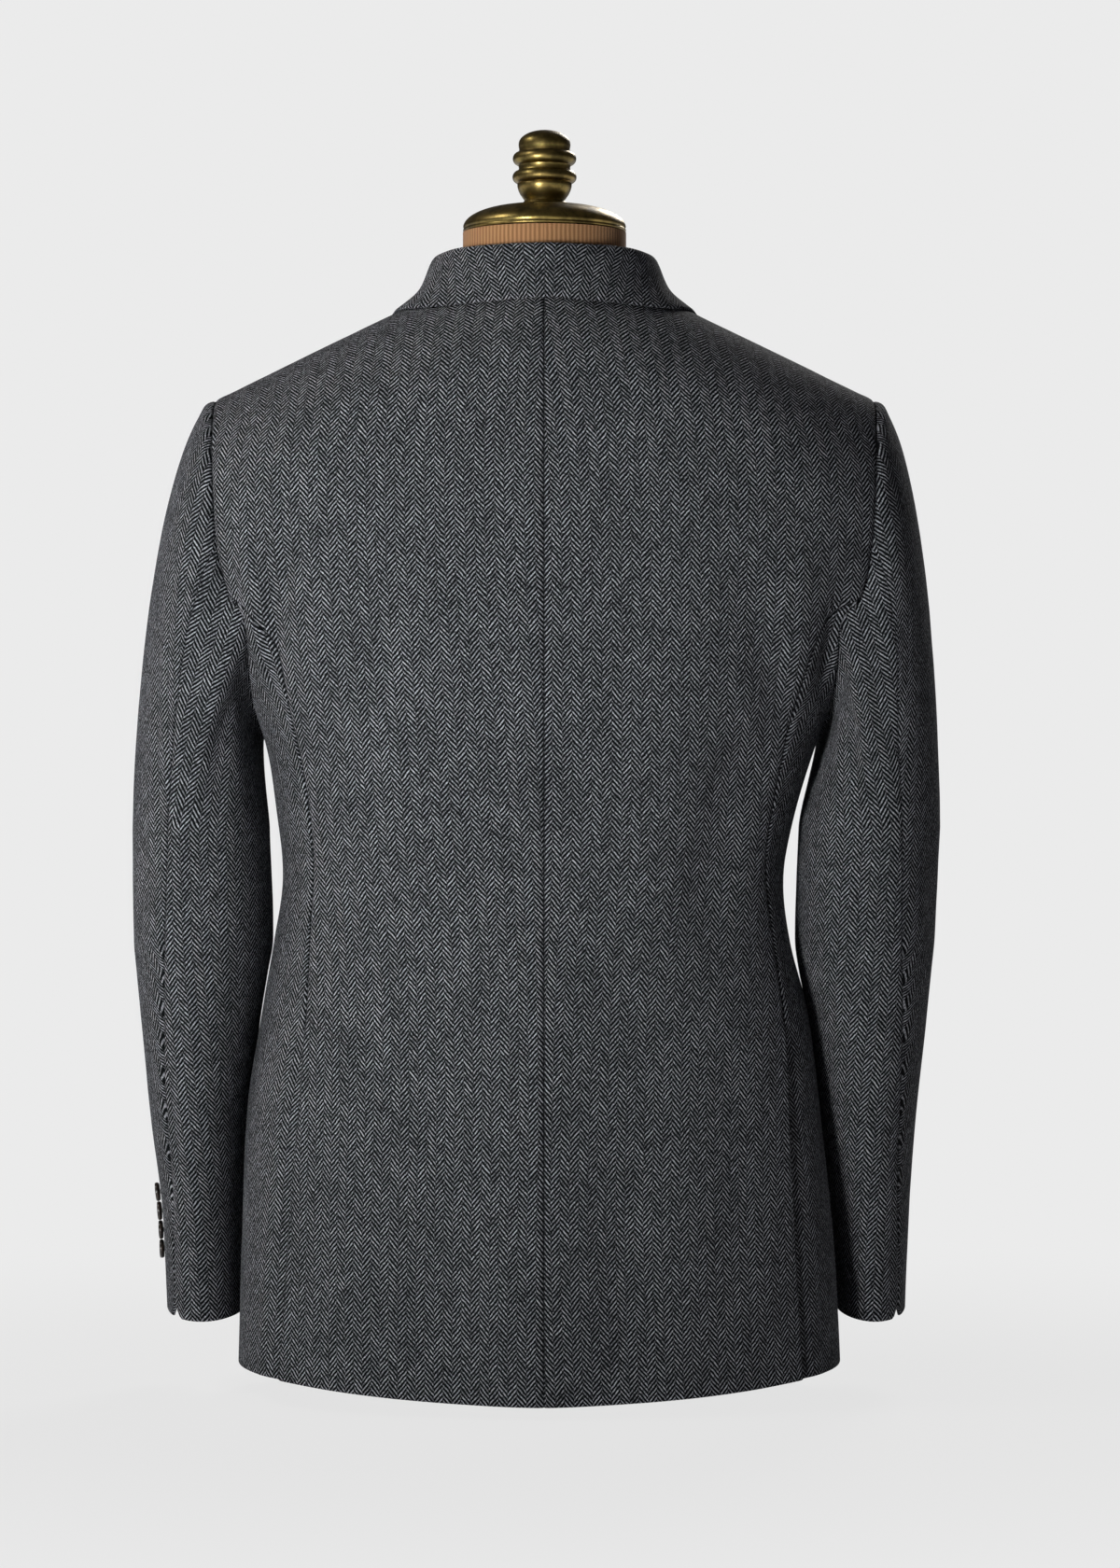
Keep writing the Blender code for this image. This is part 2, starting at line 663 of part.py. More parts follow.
def armhole_loop(side):
    """The armhole's edge: down the back, round under the arm and up the front."""
    back, back_normals = back_grid(side)
    under, under_normals = side_grid(side)
    front, front_normals = front_grid(side)
    points = np.concatenate([back[:BODY_STEPS:-1, -1], under[-1], front[BODY_STEPS + 1:-1, 0]])
    normals = np.concatenate([
        back_normals[:BODY_STEPS:-1, -1], under_normals[-1], front_normals[BODY_STEPS + 1:-1, 0]
    ])
    return points, normals


def sleeve_ring(side, z, phi):
    """A point of the hanging sleeve, phi turning from the outside to the back."""
    read = {name: read_table(SLEEVE_ROWS, SLEEVE_COLUMNS, name, z) for name in SLEEVE_COLUMNS}
    out = read[side_name(side) + "_out"]
    inner = read[side_name(side) + "_in"]
    x = (out + inner) / 2 + (out - inner) / 2 * math.cos(phi)
    y = (read["back"] + read["front"]) / 2 + (read["back"] - read["front"]) / 2 * math.sin(phi)
    return np.array((side * x, y, z))


def bend(top, level, under, c):
    """A vector that is top, level or under where c is 1, 0 or -1."""
    top, level, under = (np.array(v) for v in (top, level, under))
    return level + (top - under) / 2 * c + (top + under - 2 * level) / 2 * c * c


def sleeve_head(side, start, phi, t):
    """A point between the armhole (t is 0) and the first level ring (t is 1)."""
    mirror = (side, 1, 1)
    bulge = math.copysign(SLEEVE_BULGE, math.sin(phi)) * abs(math.sin(phi))
    first = bend(*HEAD_LEAVING, math.cos(phi)) + (0, bulge, 0)
    last = bend(*HEAD_ARRIVING, math.cos(phi))
    end = sleeve_ring(side, SLEEVE_ROWS[0][0], phi - SLEEVE_TWIST * HEAD_SHARE * t)
    a = start
    b = start + first * mirror
    c = end + last * mirror
    return (1 - t)**3 * a + 3 * t * (1 - t)**2 * b + 3 * t * t * (1 - t) * c + t**3 * end


def sleeve_grid(side):
    """Rows from the armhole to the cuff, columns round the sleeve as on the armhole."""
    loop, loop_normals = armhole_loop(side)
    steps = np.linalg.norm(np.roll(loop, -1, axis=0) - loop, axis=1)
    phis = 2 * math.pi * (np.cumsum(steps) - steps) / steps.sum()
    rows = []
    for t in HEAD_STEPS:
        rows.append([sleeve_head(side, start, phi, t) for start, phi in zip(loop, phis)])
    top = SLEEVE_ROWS[0][0]
    for k in range(1, SLEEVE_STEPS + 1):
        t = k / SLEEVE_STEPS
        turn = SLEEVE_TWIST * mix(HEAD_SHARE, 1, t)
        rows.append([sleeve_ring(side, mix(top, CUFF_Z, t), phi - turn) for phi in phis])
    points = np.array(rows)
    around = np.roll(points, -1, axis=1) - np.roll(points, 1, axis=1)
    along = np.gradient(points, axis=0)
    normals = np.cross(along, around) * side
    normals /= np.linalg.norm(normals, axis=2)[:, :, None]
    normals[0] = loop_normals
    return points, normals


def make_sleeve(side):
    points, normals = sleeve_grid(side)
    count = points.shape[1]
    leaving = points[1] - points[0]
    points[0] += 2 * GAP * leaving / np.linalg.norm(leaving, axis=1)[:, None]
    under = list(range(HIND_SEAM, FRONT_SEAM + 1))
    over = [k % count for k in range(FRONT_SEAM, HIND_SEAM + count + 1)]
    for name, columns in (("under_sleeve", under), ("top_sleeve", over)):
        cut = trim(points[:, columns], ("first_column", "last_column"), 2 * GAP)
        wall(f"{name}_{side_name(side)}", cut, normals[:, columns])


def laid_piece(name, side, lift, corners, steps):
    """A small panel on the front or side, its corners given as (angle, height)."""
    rows, columns = steps

    def sample(i, j):
        u = j / columns
        v = i / rows
        low = [mix(corners[0][k], corners[1][k], u) for k in (0, 1)]
        high = [mix(corners[3][k], corners[2][k], u) for k in (0, 1)]
        angle = mix(low[0], high[0], v)
        z = mix(low[1], high[1], v)
        point, normal = angle_sample(side, angle, z)
        return point + (lift + CLOTH) * normal, normal

    points, normals = grid(rows + 1, columns + 1, sample)
    wall(name, points, normals)


def make_pockets():
    """The hip flaps cross the side-front seams, and the welt is on the left breast."""
    for side in (1, -1):
        start = math.radians(FLAP_ANGLES[0])
        end = math.radians(FLAP_ANGLES[1])
        low = FLAP_TOP - FLAP_HEIGHT
        corners = (
            (start, low - FLAP_SLANT), (end, low), (end, FLAP_TOP), (start, FLAP_TOP - FLAP_SLANT)
        )
        laid_piece(f"flap_{side_name(side)}", side, LAID_LIFT, corners, (2, 7))
    angles = [
        angle_of(1, "front", x, z) for x, z in (
            (WELT_X[0], WELT_Z), (WELT_X[1], WELT_Z + WELT_SLANT))
    ]
    corners = (
        (angles[0], WELT_Z), (angles[1], WELT_Z + WELT_SLANT),
        (angles[1], WELT_Z + WELT_SLANT + WELT_HEIGHT), (angles[0], WELT_Z + WELT_HEIGHT),
    )
    laid_piece("breast_welt", 1, LAID_LIFT, corners, (1, 6))


def turned(name, profile, material, segments):
    """A solid turned about Z from (radius, height) points, bottom to top."""
    bm = bmesh.new()
    rings = []
    for radius, z in profile:
        if radius == 0:
            rings.append([bm.verts.new((0, 0, z))])
            continue
        ring = []
        for k in range(segments):
            angle = 2 * math.pi * k / segments
            ring.append(bm.verts.new((radius * math.cos(angle), radius * math.sin(angle), z)))
        rings.append(ring)
    for low, high in zip(rings, rings[1:]):
        for k in range(segments):
            after = (k + 1) % segments
            if len(low) == 1:
                bm.faces.new((low[0], high[after], high[k]))
            elif len(high) == 1:
                bm.faces.new((low[k], low[after], high[0]))
            else:
                bm.faces.new((low[k], low[after], high[after], high[k]))
    if len(rings[0]) > 1:
        bm.faces.new(rings[0][::-1])
    if len(rings[-1]) > 1:
        bm.faces.new(rings[-1])
    return finish_mesh(name, bm, material)


def button_profile(radius):
    """A dished button with a rounded rim, its back at height 0."""
    high = BUTTON_THICKNESS
    return (
        (0.70 * radius, 0), (radius, 0.45 * high), (0.94 * radius, high),
        (0.78 * radius, high), (0, 0.70 * high),
    )


def seat_button(name, radius, point, normal):
    """A button that faces along the normal, just clear of the cloth under it."""
    item = turned(name, button_profile(radius), "horn", BUTTON_SEGMENTS)
    turn = Vector(normal).to_track_quat("Z", "Y").to_matrix().to_4x4()
    item.matrix_world = Matrix.Translation(Vector(point + BUTTON_LIFT * normal)) @ turn


def make_front_buttons():
    for k, z in enumerate(BUTTON_Z):
        point, normal = shell_sample(1, "front", 0.0, z)
        seat_button(
            f"front_button_{k + 1}", BUTTON_RADIUS, point + lap(1, 0.0, z) * normal, normal
        )


def make_cuff_buttons(side):
    """Four nearly touching buttons up the top sleeve, before the hind-arm seam."""
    h = 0.001
    for k in range(CUFF_BUTTONS):
        z = CUFF_Z + CUFF_BUTTON_FIRST + k * CUFF_BUTTON_PITCH
        phi = CUFF_BUTTON_PHI[side]
        here = sleeve_ring(side, z, phi)
        around = sleeve_ring(side, z, phi + h) - here
        along = sleeve_ring(side, z - h, phi) - here
        normal = np.cross(along, around) * side
        normal /= np.linalg.norm(normal)
        seat_button(f"cuff_button_{side_name(side)}_{k + 1}", CUFF_BUTTON_RADIUS, here, normal)


def form_ring(z):
    """One section of the dress form: inside the coat's shell, or the neck above it."""
    drop = (CLOTH + FORM_CLEAR) * math.hypot(1, RIDGE_SLOPE)
    points = []
    level = max((RIDGE_TOP - drop - z) / RIDGE_SLOPE, RIDGE_SOFT)
    limit = math.sqrt(max(level**2 - RIDGE_SOFT**2, 0.0))
    half = min(read_table(FORM_ROWS, FORM_COLUMNS, "half", z), limit)
    fill = read_table(FORM_ROWS, FORM_COLUMNS, "fill", z)
    neck = ease((z - FORM_NECK_FROM) / (FORM_NECK_FULL - FORM_NECK_FROM))
    for k in range(FORM_SEGMENTS):
        angle = 2 * math.pi * k / FORM_SEGMENTS
        side = 1 if math.sin(angle) >= 0 else -1
        face = "back" if math.cos(angle) > 0 else "front"
        x = half * abs(math.sin(angle)) ** (2 / SQUARENESS)
        reach = abs(shell_y(side, face, x, z + drop) - middle(z)) * fill
        across = max(1 - (x / half) ** 3, 0.0) ** (1 / 3) if half > 0 else 0.0
        body = np.array((side * x, middle(z) + math.copysign(reach * across, math.cos(angle)), z))
        column = np.array((
            FORM_NECK * math.sin(angle), NECK_Y + FORM_NECK * math.cos(angle), z
        ))
        points.append(mix(body, column, neck))
    return points


def make_form():
    bm = bmesh.new()
    rings = [[bm.verts.new(point) for point in form_ring(z)] for z in FORM_LEVELS]
    for low, high in zip(rings, rings[1:]):
        for k in range(FORM_SEGMENTS):
            after = (k + 1) % FORM_SEGMENTS
            bm.faces.new((low[k], low[after], high[after], high[k]))
    bm.faces.new(rings[0][::-1])
    bm.faces.new(rings[-1])
    finish_mesh("form_torso", bm, "linen")

    cap = turned("neck_cap", [(r, z + GAP) for r, z in cap_profile()], "brass", TURNED_SEGMENTS)
    cap.location = (0, NECK_Y, 0)
    finial = turned("finial", finial_profile(), "brass", THIN_SEGMENTS)
    finial.location = (0, NECK_Y, 0)
    foot = turned("form_foot", foot_profile(), "brass", THIN_SEGMENTS)
    foot.location = (0, FOOT_Y, 0)
    base = turned("form_base", base_profile(), "wood", TURNED_SEGMENTS)
    base.location = (0, FOOT_Y, 0)


def arc(centre, radius, start, end, steps):
    """(radius, height) points of an arc, its angles in degrees from straight out."""
    points = []
    for k in range(steps + 1):
        angle = math.radians(mix(start, end, k / steps))
        points.append((centre[0] + radius * math.cos(angle), centre[1] + radius * math.sin(angle)))
    return points


def cap_profile():
    """A shallow dome with a rolled rim, standing on the neck."""
    profile = [(CAP_RADIUS - 0.0015, NECK_TOP), (CAP_RADIUS, NECK_TOP + 0.0015)]
    for k in range(6):
        t = k / 6
        r = CAP_RADIUS * math.cos(t * math.pi / 2) ** 0.75
        profile.append((r, mix(NECK_TOP + 0.0035, CAP_TOP, math.sin(t * math.pi / 2))))
    return profile + [(0, CAP_TOP)]


def finial_profile():
    """A plinth, a bowl, two beads and a dome, one on another."""
    foot = CAP_TOP + 2 * GAP
    profile = [(0.0140, foot), (0.0148, foot + 0.0012), (0.0140, foot + 0.0026)]
    profile += [(0.0172, foot + 0.0062), (0.0193, foot + 0.0110), (0.0196, foot + 0.0145)]
    profile += arc((0.0178, foot + 0.0190), 0.0048, -70, 70, 4)
    profile += [(0.0186, foot + 0.0252)]
    profile += arc((0.0174, foot + 0.0322), 0.0050, -70, 70, 4)
    profile += [(0.0186, foot + 0.0385), (0.0184, foot + 0.0410)]
    dome = FINIAL_TOP - foot - 0.0425
    for k in range(6):
        angle = k / 6 * math.pi / 2
        profile.append((0.0182 * math.cos(angle), foot + 0.0425 + dome * math.sin(angle)))
    return profile + [(0, FINIAL_TOP)]


def foot_profile():
    """A turned column with a flange under the torso."""
    low = BASE_HEIGHT + GAP
    high = FORM_LEVELS[0] - GAP
    profile = [(0.030, low), (0.030, low + 0.004)]
    profile += arc((0.030, low + 0.014), 0.010, -90, -180, 4)
    profile += [(0.018, high - 0.022)]
    profile += arc((0.034, high - 0.022), 0.016, 180, 100, 4)
    return profile + [(0.052, high - 0.005), (0.052, high)]


def base_profile():
    """A round plate with a rounded upper edge."""
    rounding = 0.005
    profile = [(BASE_RADIUS - 0.001, 0), (BASE_RADIUS, 0.001)]
    profile += arc((BASE_RADIUS - rounding, BASE_HEIGHT - rounding), rounding, 0, 90, 4)
    return profile + [(0.034, BASE_HEIGHT)]


def clear_scene():
    for item in list(bpy.data.objects):
        bpy.data.objects.remove(item, do_unlink=True)


def main():
    clear_scene()
    for side in (1, -1):
        make_back(side)
        make_side(side)
        make_front(side)
        make_lapel(side)
        make_sleeve(side)
        make_cuff_buttons(side)
    make_collar()
    make_pockets()
    make_front_buttons()
    make_form()


main()
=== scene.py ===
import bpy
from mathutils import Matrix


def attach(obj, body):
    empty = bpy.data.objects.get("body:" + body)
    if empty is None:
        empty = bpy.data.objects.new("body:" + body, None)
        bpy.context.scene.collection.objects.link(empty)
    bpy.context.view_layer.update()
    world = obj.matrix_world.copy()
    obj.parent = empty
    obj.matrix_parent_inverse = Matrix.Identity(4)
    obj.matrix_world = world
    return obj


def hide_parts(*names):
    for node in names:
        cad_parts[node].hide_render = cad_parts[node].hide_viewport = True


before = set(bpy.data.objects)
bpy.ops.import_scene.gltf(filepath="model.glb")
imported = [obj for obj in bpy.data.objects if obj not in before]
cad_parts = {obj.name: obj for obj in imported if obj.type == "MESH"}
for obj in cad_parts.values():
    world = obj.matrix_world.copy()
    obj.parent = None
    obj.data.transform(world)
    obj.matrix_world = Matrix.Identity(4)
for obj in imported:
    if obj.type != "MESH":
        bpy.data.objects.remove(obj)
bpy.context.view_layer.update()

import functools
import math

import bmesh
import bpy
import numpy as np
from mathutils import Matrix, Vector, bvhtree, noise

# Metres, +Z up. The coat's front faces -Y and the wearer's left is +X.


def toLinear(hexColour):
    # sRGB hex to linear red, green and blue
    parts = [int(hexColour[i:i + 2], 16) / 255 for i in (1, 3, 5)]
    return tuple(c / 12.92 if c <= 0.04045 else ((c + 0.055) / 1.055) ** 2.4 for c in parts) + (1.0,)


def setInputs(node, values):
    # an input, by its name or number, takes a value, or a link from another node's output
    for key, value in values.items():
        if isinstance(value, bpy.types.NodeSocket):
            node.id_data.links.new(value, node.inputs[key])
        else:
            node.inputs[key].default_value = value


def addNode(tree, kind, values, out=0, **settings):
    # adds a node and gives one of its outputs
    node = tree.nodes.new("ShaderNode" + kind)
    for key, value in settings.items():
        setattr(node, key, value)
    setInputs(node, values)
    return node.outputs[out]


def nodeMakers(tree):
    # short ways to add a node, a sum, an eased range and a mix of two colours
    add = functools.partial(addNode, tree)

    def calc(operation, *numbers):
        return add("Math", dict(enumerate(numbers)), operation=operation)

    def remap(value, low=0.0, high=1.0, newLow=0.0, newHigh=1.0, curve="LINEAR"):
        values = {"Value": value, 1: low, 2: high, 3: newLow, 4: newHigh}
        return add("MapRange", values, interpolation_type=curve)

    def tint(share, a, b, **settings):
        a, b = (toLinear(c) if isinstance(c, str) else c for c in (a, b))
        return add("Mix", {0: share, 6: a, 7: b}, 2, data_type="RGBA", **settings)

    return add, calc, remap, tint


def newMaterial(name):
    material = bpy.data.materials.new(name)
    material.use_nodes = True
    tree = material.node_tree
    return material, tree.nodes["Principled BSDF"], *nodeMakers(tree)


def newMesh(name, points, faces, *materials):
    mesh = bpy.data.meshes.new(name)
    mesh.from_pydata(points, [], faces)
    for material in materials:
        mesh.materials.append(material)
    mesh.shade_smooth()
    return mesh


def newObject(name, data):
    item = bpy.data.objects.new(name, data)
    bpy.context.scene.collection.objects.link(item)
    return item


def addPiece(name, mesh, nodes=(), matrix=None):
    piece = newObject(name, mesh)
    if matrix is not None:
        piece.matrix_world = matrix
    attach(piece, "root")
    if nodes:
        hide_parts(*nodes)
    return piece


def mix(a, b, t):
    return a + (b - a) * t


def ease(t):
    t = np.clip(t, 0.0, 1.0)
    return t * t * (3 - 2 * t)


def unit(v):
    return v / np.maximum(np.linalg.norm(v, axis=-1, keepdims=True), 1e-12)


def running(sizes, axis=0):
    # the sums so far, starting from nothing
    return np.concatenate([np.zeros_like(np.take(sizes, [0], axis)), np.cumsum(sizes, axis=axis)], axis=axis)


def lengthsAlong(points):
    # distance from the first point to each point of a line, along the line
    return running(np.linalg.norm(np.diff(points, axis=0), axis=1))


def gridNormals(grid):
    # the way the surface through a grid of points faces
    return unit(np.cross(np.gradient(grid, axis=0), np.gradient(grid, axis=1)))


# The coat's cut, as it hangs on the form
coatCut = {
    "cloth": 0.0020,          # thickness of the cloth with its canvas and lining
    "hemBack": 0.0095, "hemSide": 0.0245, "hemFront": 0.016,
    "neckHalf": 0.078, "neckBack": 0.772,
    "shoulderHalf": 0.2315, "ridgeTop": 0.8148, "ridgeSlope": 0.494, "ridgeSoft": 0.030,
    "shoulderRoll": 0.085, "squareness": 2.4,
    "armholeBottom": 0.462, "armholeShape": 1.4, "sideBackTop": 0.560, "sideFrontTop": 0.535,
    "ventTop": 0.267, "ventUnderlap": 0.032, "ventDip": 0.0030,
    "overlap": 0.020, "breakLine": 0.392, "buttons": (0.372, 0.262),
    "cutaway": 0.095, "cornerRise": 0.030,
    "lapLift": 0.0030, "lapReach": 0.075, "lapFade": 0.100, "underLapelStart": 0.470,
}

# z, then half widths on the left and the right, the middle's y, and the reach behind and before it
bodyRows = np.array((
    (0.000, 0.2165, 0.2095, 0.000, 0.136, 0.137),
    (0.100, 0.2138, 0.2045, 0.000, 0.135, 0.138),
    (0.200, 0.2098, 0.1945, -0.001, 0.130, 0.139),
    (0.270, 0.1995, 0.1858, -0.004, 0.122, 0.139),
    (0.320, 0.1910, 0.1735, -0.007, 0.116, 0.138),
    (0.365, 0.1851, 0.1689, -0.008, 0.114, 0.137),
    (0.410, 0.1893, 0.1772, -0.006, 0.120, 0.138),
    (0.462, 0.1975, 0.1930, 0.000, 0.128, 0.140),
    (0.500, 0.2130, 0.2100, 0.003, 0.133, 0.141),
    (0.560, 0.2450, 0.2440, 0.006, 0.136, 0.139),
    (0.610, 0.2600, 0.2600, 0.008, 0.135, 0.133),
    (0.660, 0.2660, 0.2660, 0.009, 0.128, 0.122),
    (0.700, 0.2660, 0.2660, 0.010, 0.119, 0.110),
    (0.740, 0.2660, 0.2660, 0.010, 0.107, 0.096),
    (0.780, 0.2660, 0.2660, 0.010, 0.093, 0.082),
    (0.830, 0.2660, 0.2660, 0.010, 0.080, 0.070),
))

# z, then how far out the seam is on the left and the right
sideBackRows = np.array((
    (0.000, 0.1840, 0.1790),
    (0.100, 0.1765, 0.1735),
    (0.200, 0.1690, 0.1690),
    (0.267, 0.1650, 0.1665),
    (0.330, 0.1625, 0.1585),
    (0.375, 0.1605, 0.1545),
    (0.420, 0.1640, 0.1600),
    (0.474, 0.1735, 0.1715),
    (0.516, 0.1830, 0.1815),
    (0.545, 0.1985, 0.1985),
    (0.560, 0.2180, 0.2180),
))
sideFrontRows = np.array((
    (0.000, 0.1500, 0.1450),
    (0.200, 0.1480, 0.1420),
    (0.375, 0.1360, 0.1300),
    (0.462, 0.1520, 0.1500),
    (0.510, 0.1760, 0.1750),
    (0.535, 0.1980, 0.1980),
))

# z, then how far out the armhole is at its back and its front
armholeRows = np.array((
    (0.480, 0.1985, 0.2010),
    (0.520, 0.2080, 0.1985),
    (0.535, 0.2110, 0.1980),
    (0.560, 0.2180, 0.1990),
    (0.590, 0.2255, 0.2030),
    (0.640, 0.2290, 0.2130),
    (0.680, 0.2310, 0.2260),
    (0.700, 0.2315, 0.2315),
))


def readRows(rows, column, value):
    # one column of a table, on a smooth curve through its rows
    rows = np.asarray(rows, float)
    if rows[0, 0] > rows[-1, 0]:
        rows = rows[::-1]
    at, held = rows[:, 0], rows[:, column]
    value = np.clip(np.asarray(value, float), at[0], at[-1])
    low = np.maximum(np.arange(len(at)) - 1, 0)
    high = np.minimum(np.arange(len(at)) + 1, len(at) - 1)
    slope = (held[high] - held[low]) / (at[high] - at[low])
    i = np.clip(np.searchsorted(at, value, side="left") - 1, 0, len(at) - 2)
    step = at[i + 1] - at[i]
    t = (value - at[i]) / step
    return (
        (2 * t**3 - 3 * t**2 + 1) * held[i] + (t**3 - 2 * t**2 + t) * step * slope[i]
        + (3 * t**2 - 2 * t**3) * held[i + 1] + (t**3 - t**2) * step * slope[i + 1]
    )


def sideColumn(side):
    return 1 if side > 0 else 2


def sideWord(side):
    return "left" if side > 0 else "right"


def halfWidth(side, z):
    return readRows(bodyRows, sideColumn(side), z)


def middleY(z):
    return readRows(bodyRows, 3, z)


def reachAt(back, z):
    # how far the body goes behind its middle, or before it
    return np.where(back, readRows(bodyRows, 4, z), readRows(bodyRows, 5, z))


def ridge(x):
    return coatCut["ridgeTop"] - coatCut["ridgeSlope"] * np.hypot(x, coatCut["ridgeSoft"])


def rollOff(x, z):
    # the share of the body's depth that is left near the shoulder line
    s = np.clip((ridge(x) - z) / coatCut["shoulderRoll"], 0.0, 1.0)
    return 2 * s - s * s


def shellY(side, back, x, z):
    power = coatCut["squareness"]
    across = np.maximum(1 - np.abs(x / halfWidth(side, z)) ** power, 0.0) ** (1 / power)
    reach = reachAt(back, z) * np.sqrt(rollOff(x, z)) * across
    return middleY(z) + (reach if back else -reach)


def shellLevel(side, x, y, z):
    power = coatCut["squareness"]
    across = np.maximum(1 - np.abs(x / halfWidth(side, z)) ** power, 0.0) ** (2 / power)
    return ((y - middleY(z)) / reachAt(y > middleY(z), z)) ** 2 - rollOff(x, z) * across


def shellNormal(side, x, y, z):
    h = 0.0002
    return unit(np.stack((
        shellLevel(side, x + h, y, z) - shellLevel(side, x - h, y, z),
        shellLevel(side, x, y + h, z) - shellLevel(side, x, y - h, z),
        shellLevel(side, x, y, z + h) - shellLevel(side, x, y, z - h),
    ), axis=-1))


def onBody(side, back, x, z):
    # points and normals of the shell; x counts outwards from the centre
    x, z = np.broadcast_arrays(np.asarray(x, float), np.asarray(z, float))
    y = shellY(side, back, x, z)
    normal = shellNormal(side, x, y, z) * (side, 1, 1)
    return np.stack((side * x, y, z), axis=-1), normal


def roundBody(side, angle, z):
    # points and normals of the shell by the angle round it, 0 at the centre back
    angle, z = np.broadcast_arrays(np.asarray(angle, float), np.asarray(z, float))
    power = 2 / coatCut["squareness"]
    x = halfWidth(side, z) * np.abs(np.sin(angle)) ** power
    reach = reachAt(angle < math.pi / 2, z) * np.sqrt(rollOff(x, z))
    y = middleY(z) + np.sign(np.cos(angle)) * reach * np.abs(np.cos(angle)) ** power
    normal = shellNormal(side, x, y, z) * (side, 1, 1)
    return np.stack((side * x, y, z), axis=-1), normal


def angleOf(side, back, x, z):
    angle = np.arcsin(np.clip(x / halfWidth(side, z), 0, 1) ** (coatCut["squareness"] / 2))
    return angle if back else math.pi - angle


def hemLevel(angle):
    level = np.where(angle < math.pi / 2, coatCut["hemBack"], coatCut["hemFront"])
    return level + (coatCut["hemSide"] - level) * np.abs(np.sin(angle)) ** 1.5


def armholeLevel(c):
    end = np.where(c < 0.5, coatCut["sideBackTop"], coatCut["sideFrontTop"])
    low = coatCut["armholeBottom"]
    return low + (end - low) * np.abs(2 * c - 1) ** coatCut["armholeShape"]


def neckline(x):
    inside = mix(coatCut["neckBack"], ridge(coatCut["neckHalf"]), (x / coatCut["neckHalf"]) ** 2)
    return np.where(x >= coatCut["neckHalf"], ridge(x), inside)


def frontEdge(z):
    # how far a front's edge is from the centre: cutaway, closing edge, then roll line
    z = np.asarray(z, float)
    low = coatCut["buttons"][1]
    curve = coatCut["cutaway"] * np.maximum(1 - z / low, 0) ** 2.2 - coatCut["overlap"]
    rise = (z - coatCut["breakLine"]) / (ridge(coatCut["neckHalf"]) - coatCut["breakLine"])
    roll = mix(-coatCut["overlap"], coatCut["neckHalf"], rise)
    return np.where(z < low, curve, np.where(z < coatCut["breakLine"], -coatCut["overlap"], roll))


def lapOver(side, x, z):
    # how far the left front lies over the right one near the closing edge
    if side < 0:
        return np.zeros(np.broadcast(x, z).shape)
    near = ease((coatCut["lapReach"] - x) / (coatCut["lapReach"] - coatCut["overlap"]))
    return coatCut["lapLift"] * near * (1 - ease((z - coatCut["underLapelStart"]) / coatCut["lapFade"]))


# Herringbone: a 2/2 twill whose diagonals turn every 7 mm, charcoal against mid grey
weaveLook = {
    "turn": 0.00675,          # width of one stripe
    "line": 0.00348,          # height from one diagonal to the next
    "slope": 1.12,            # rise of the diagonals
    "yarn": 0.0008,           # thickness of a yarn
    "ease": 0.07,             # the stripes draw together over the skirt
    "seam": 0.22,             # painted shade in a seam: how much of the light yarn's tone is left on the seam's line
    "rounds": 500,            # steps taken to lay the weave evenly
    "dark": "#0d0e10", "light": "#a9abb1",
}


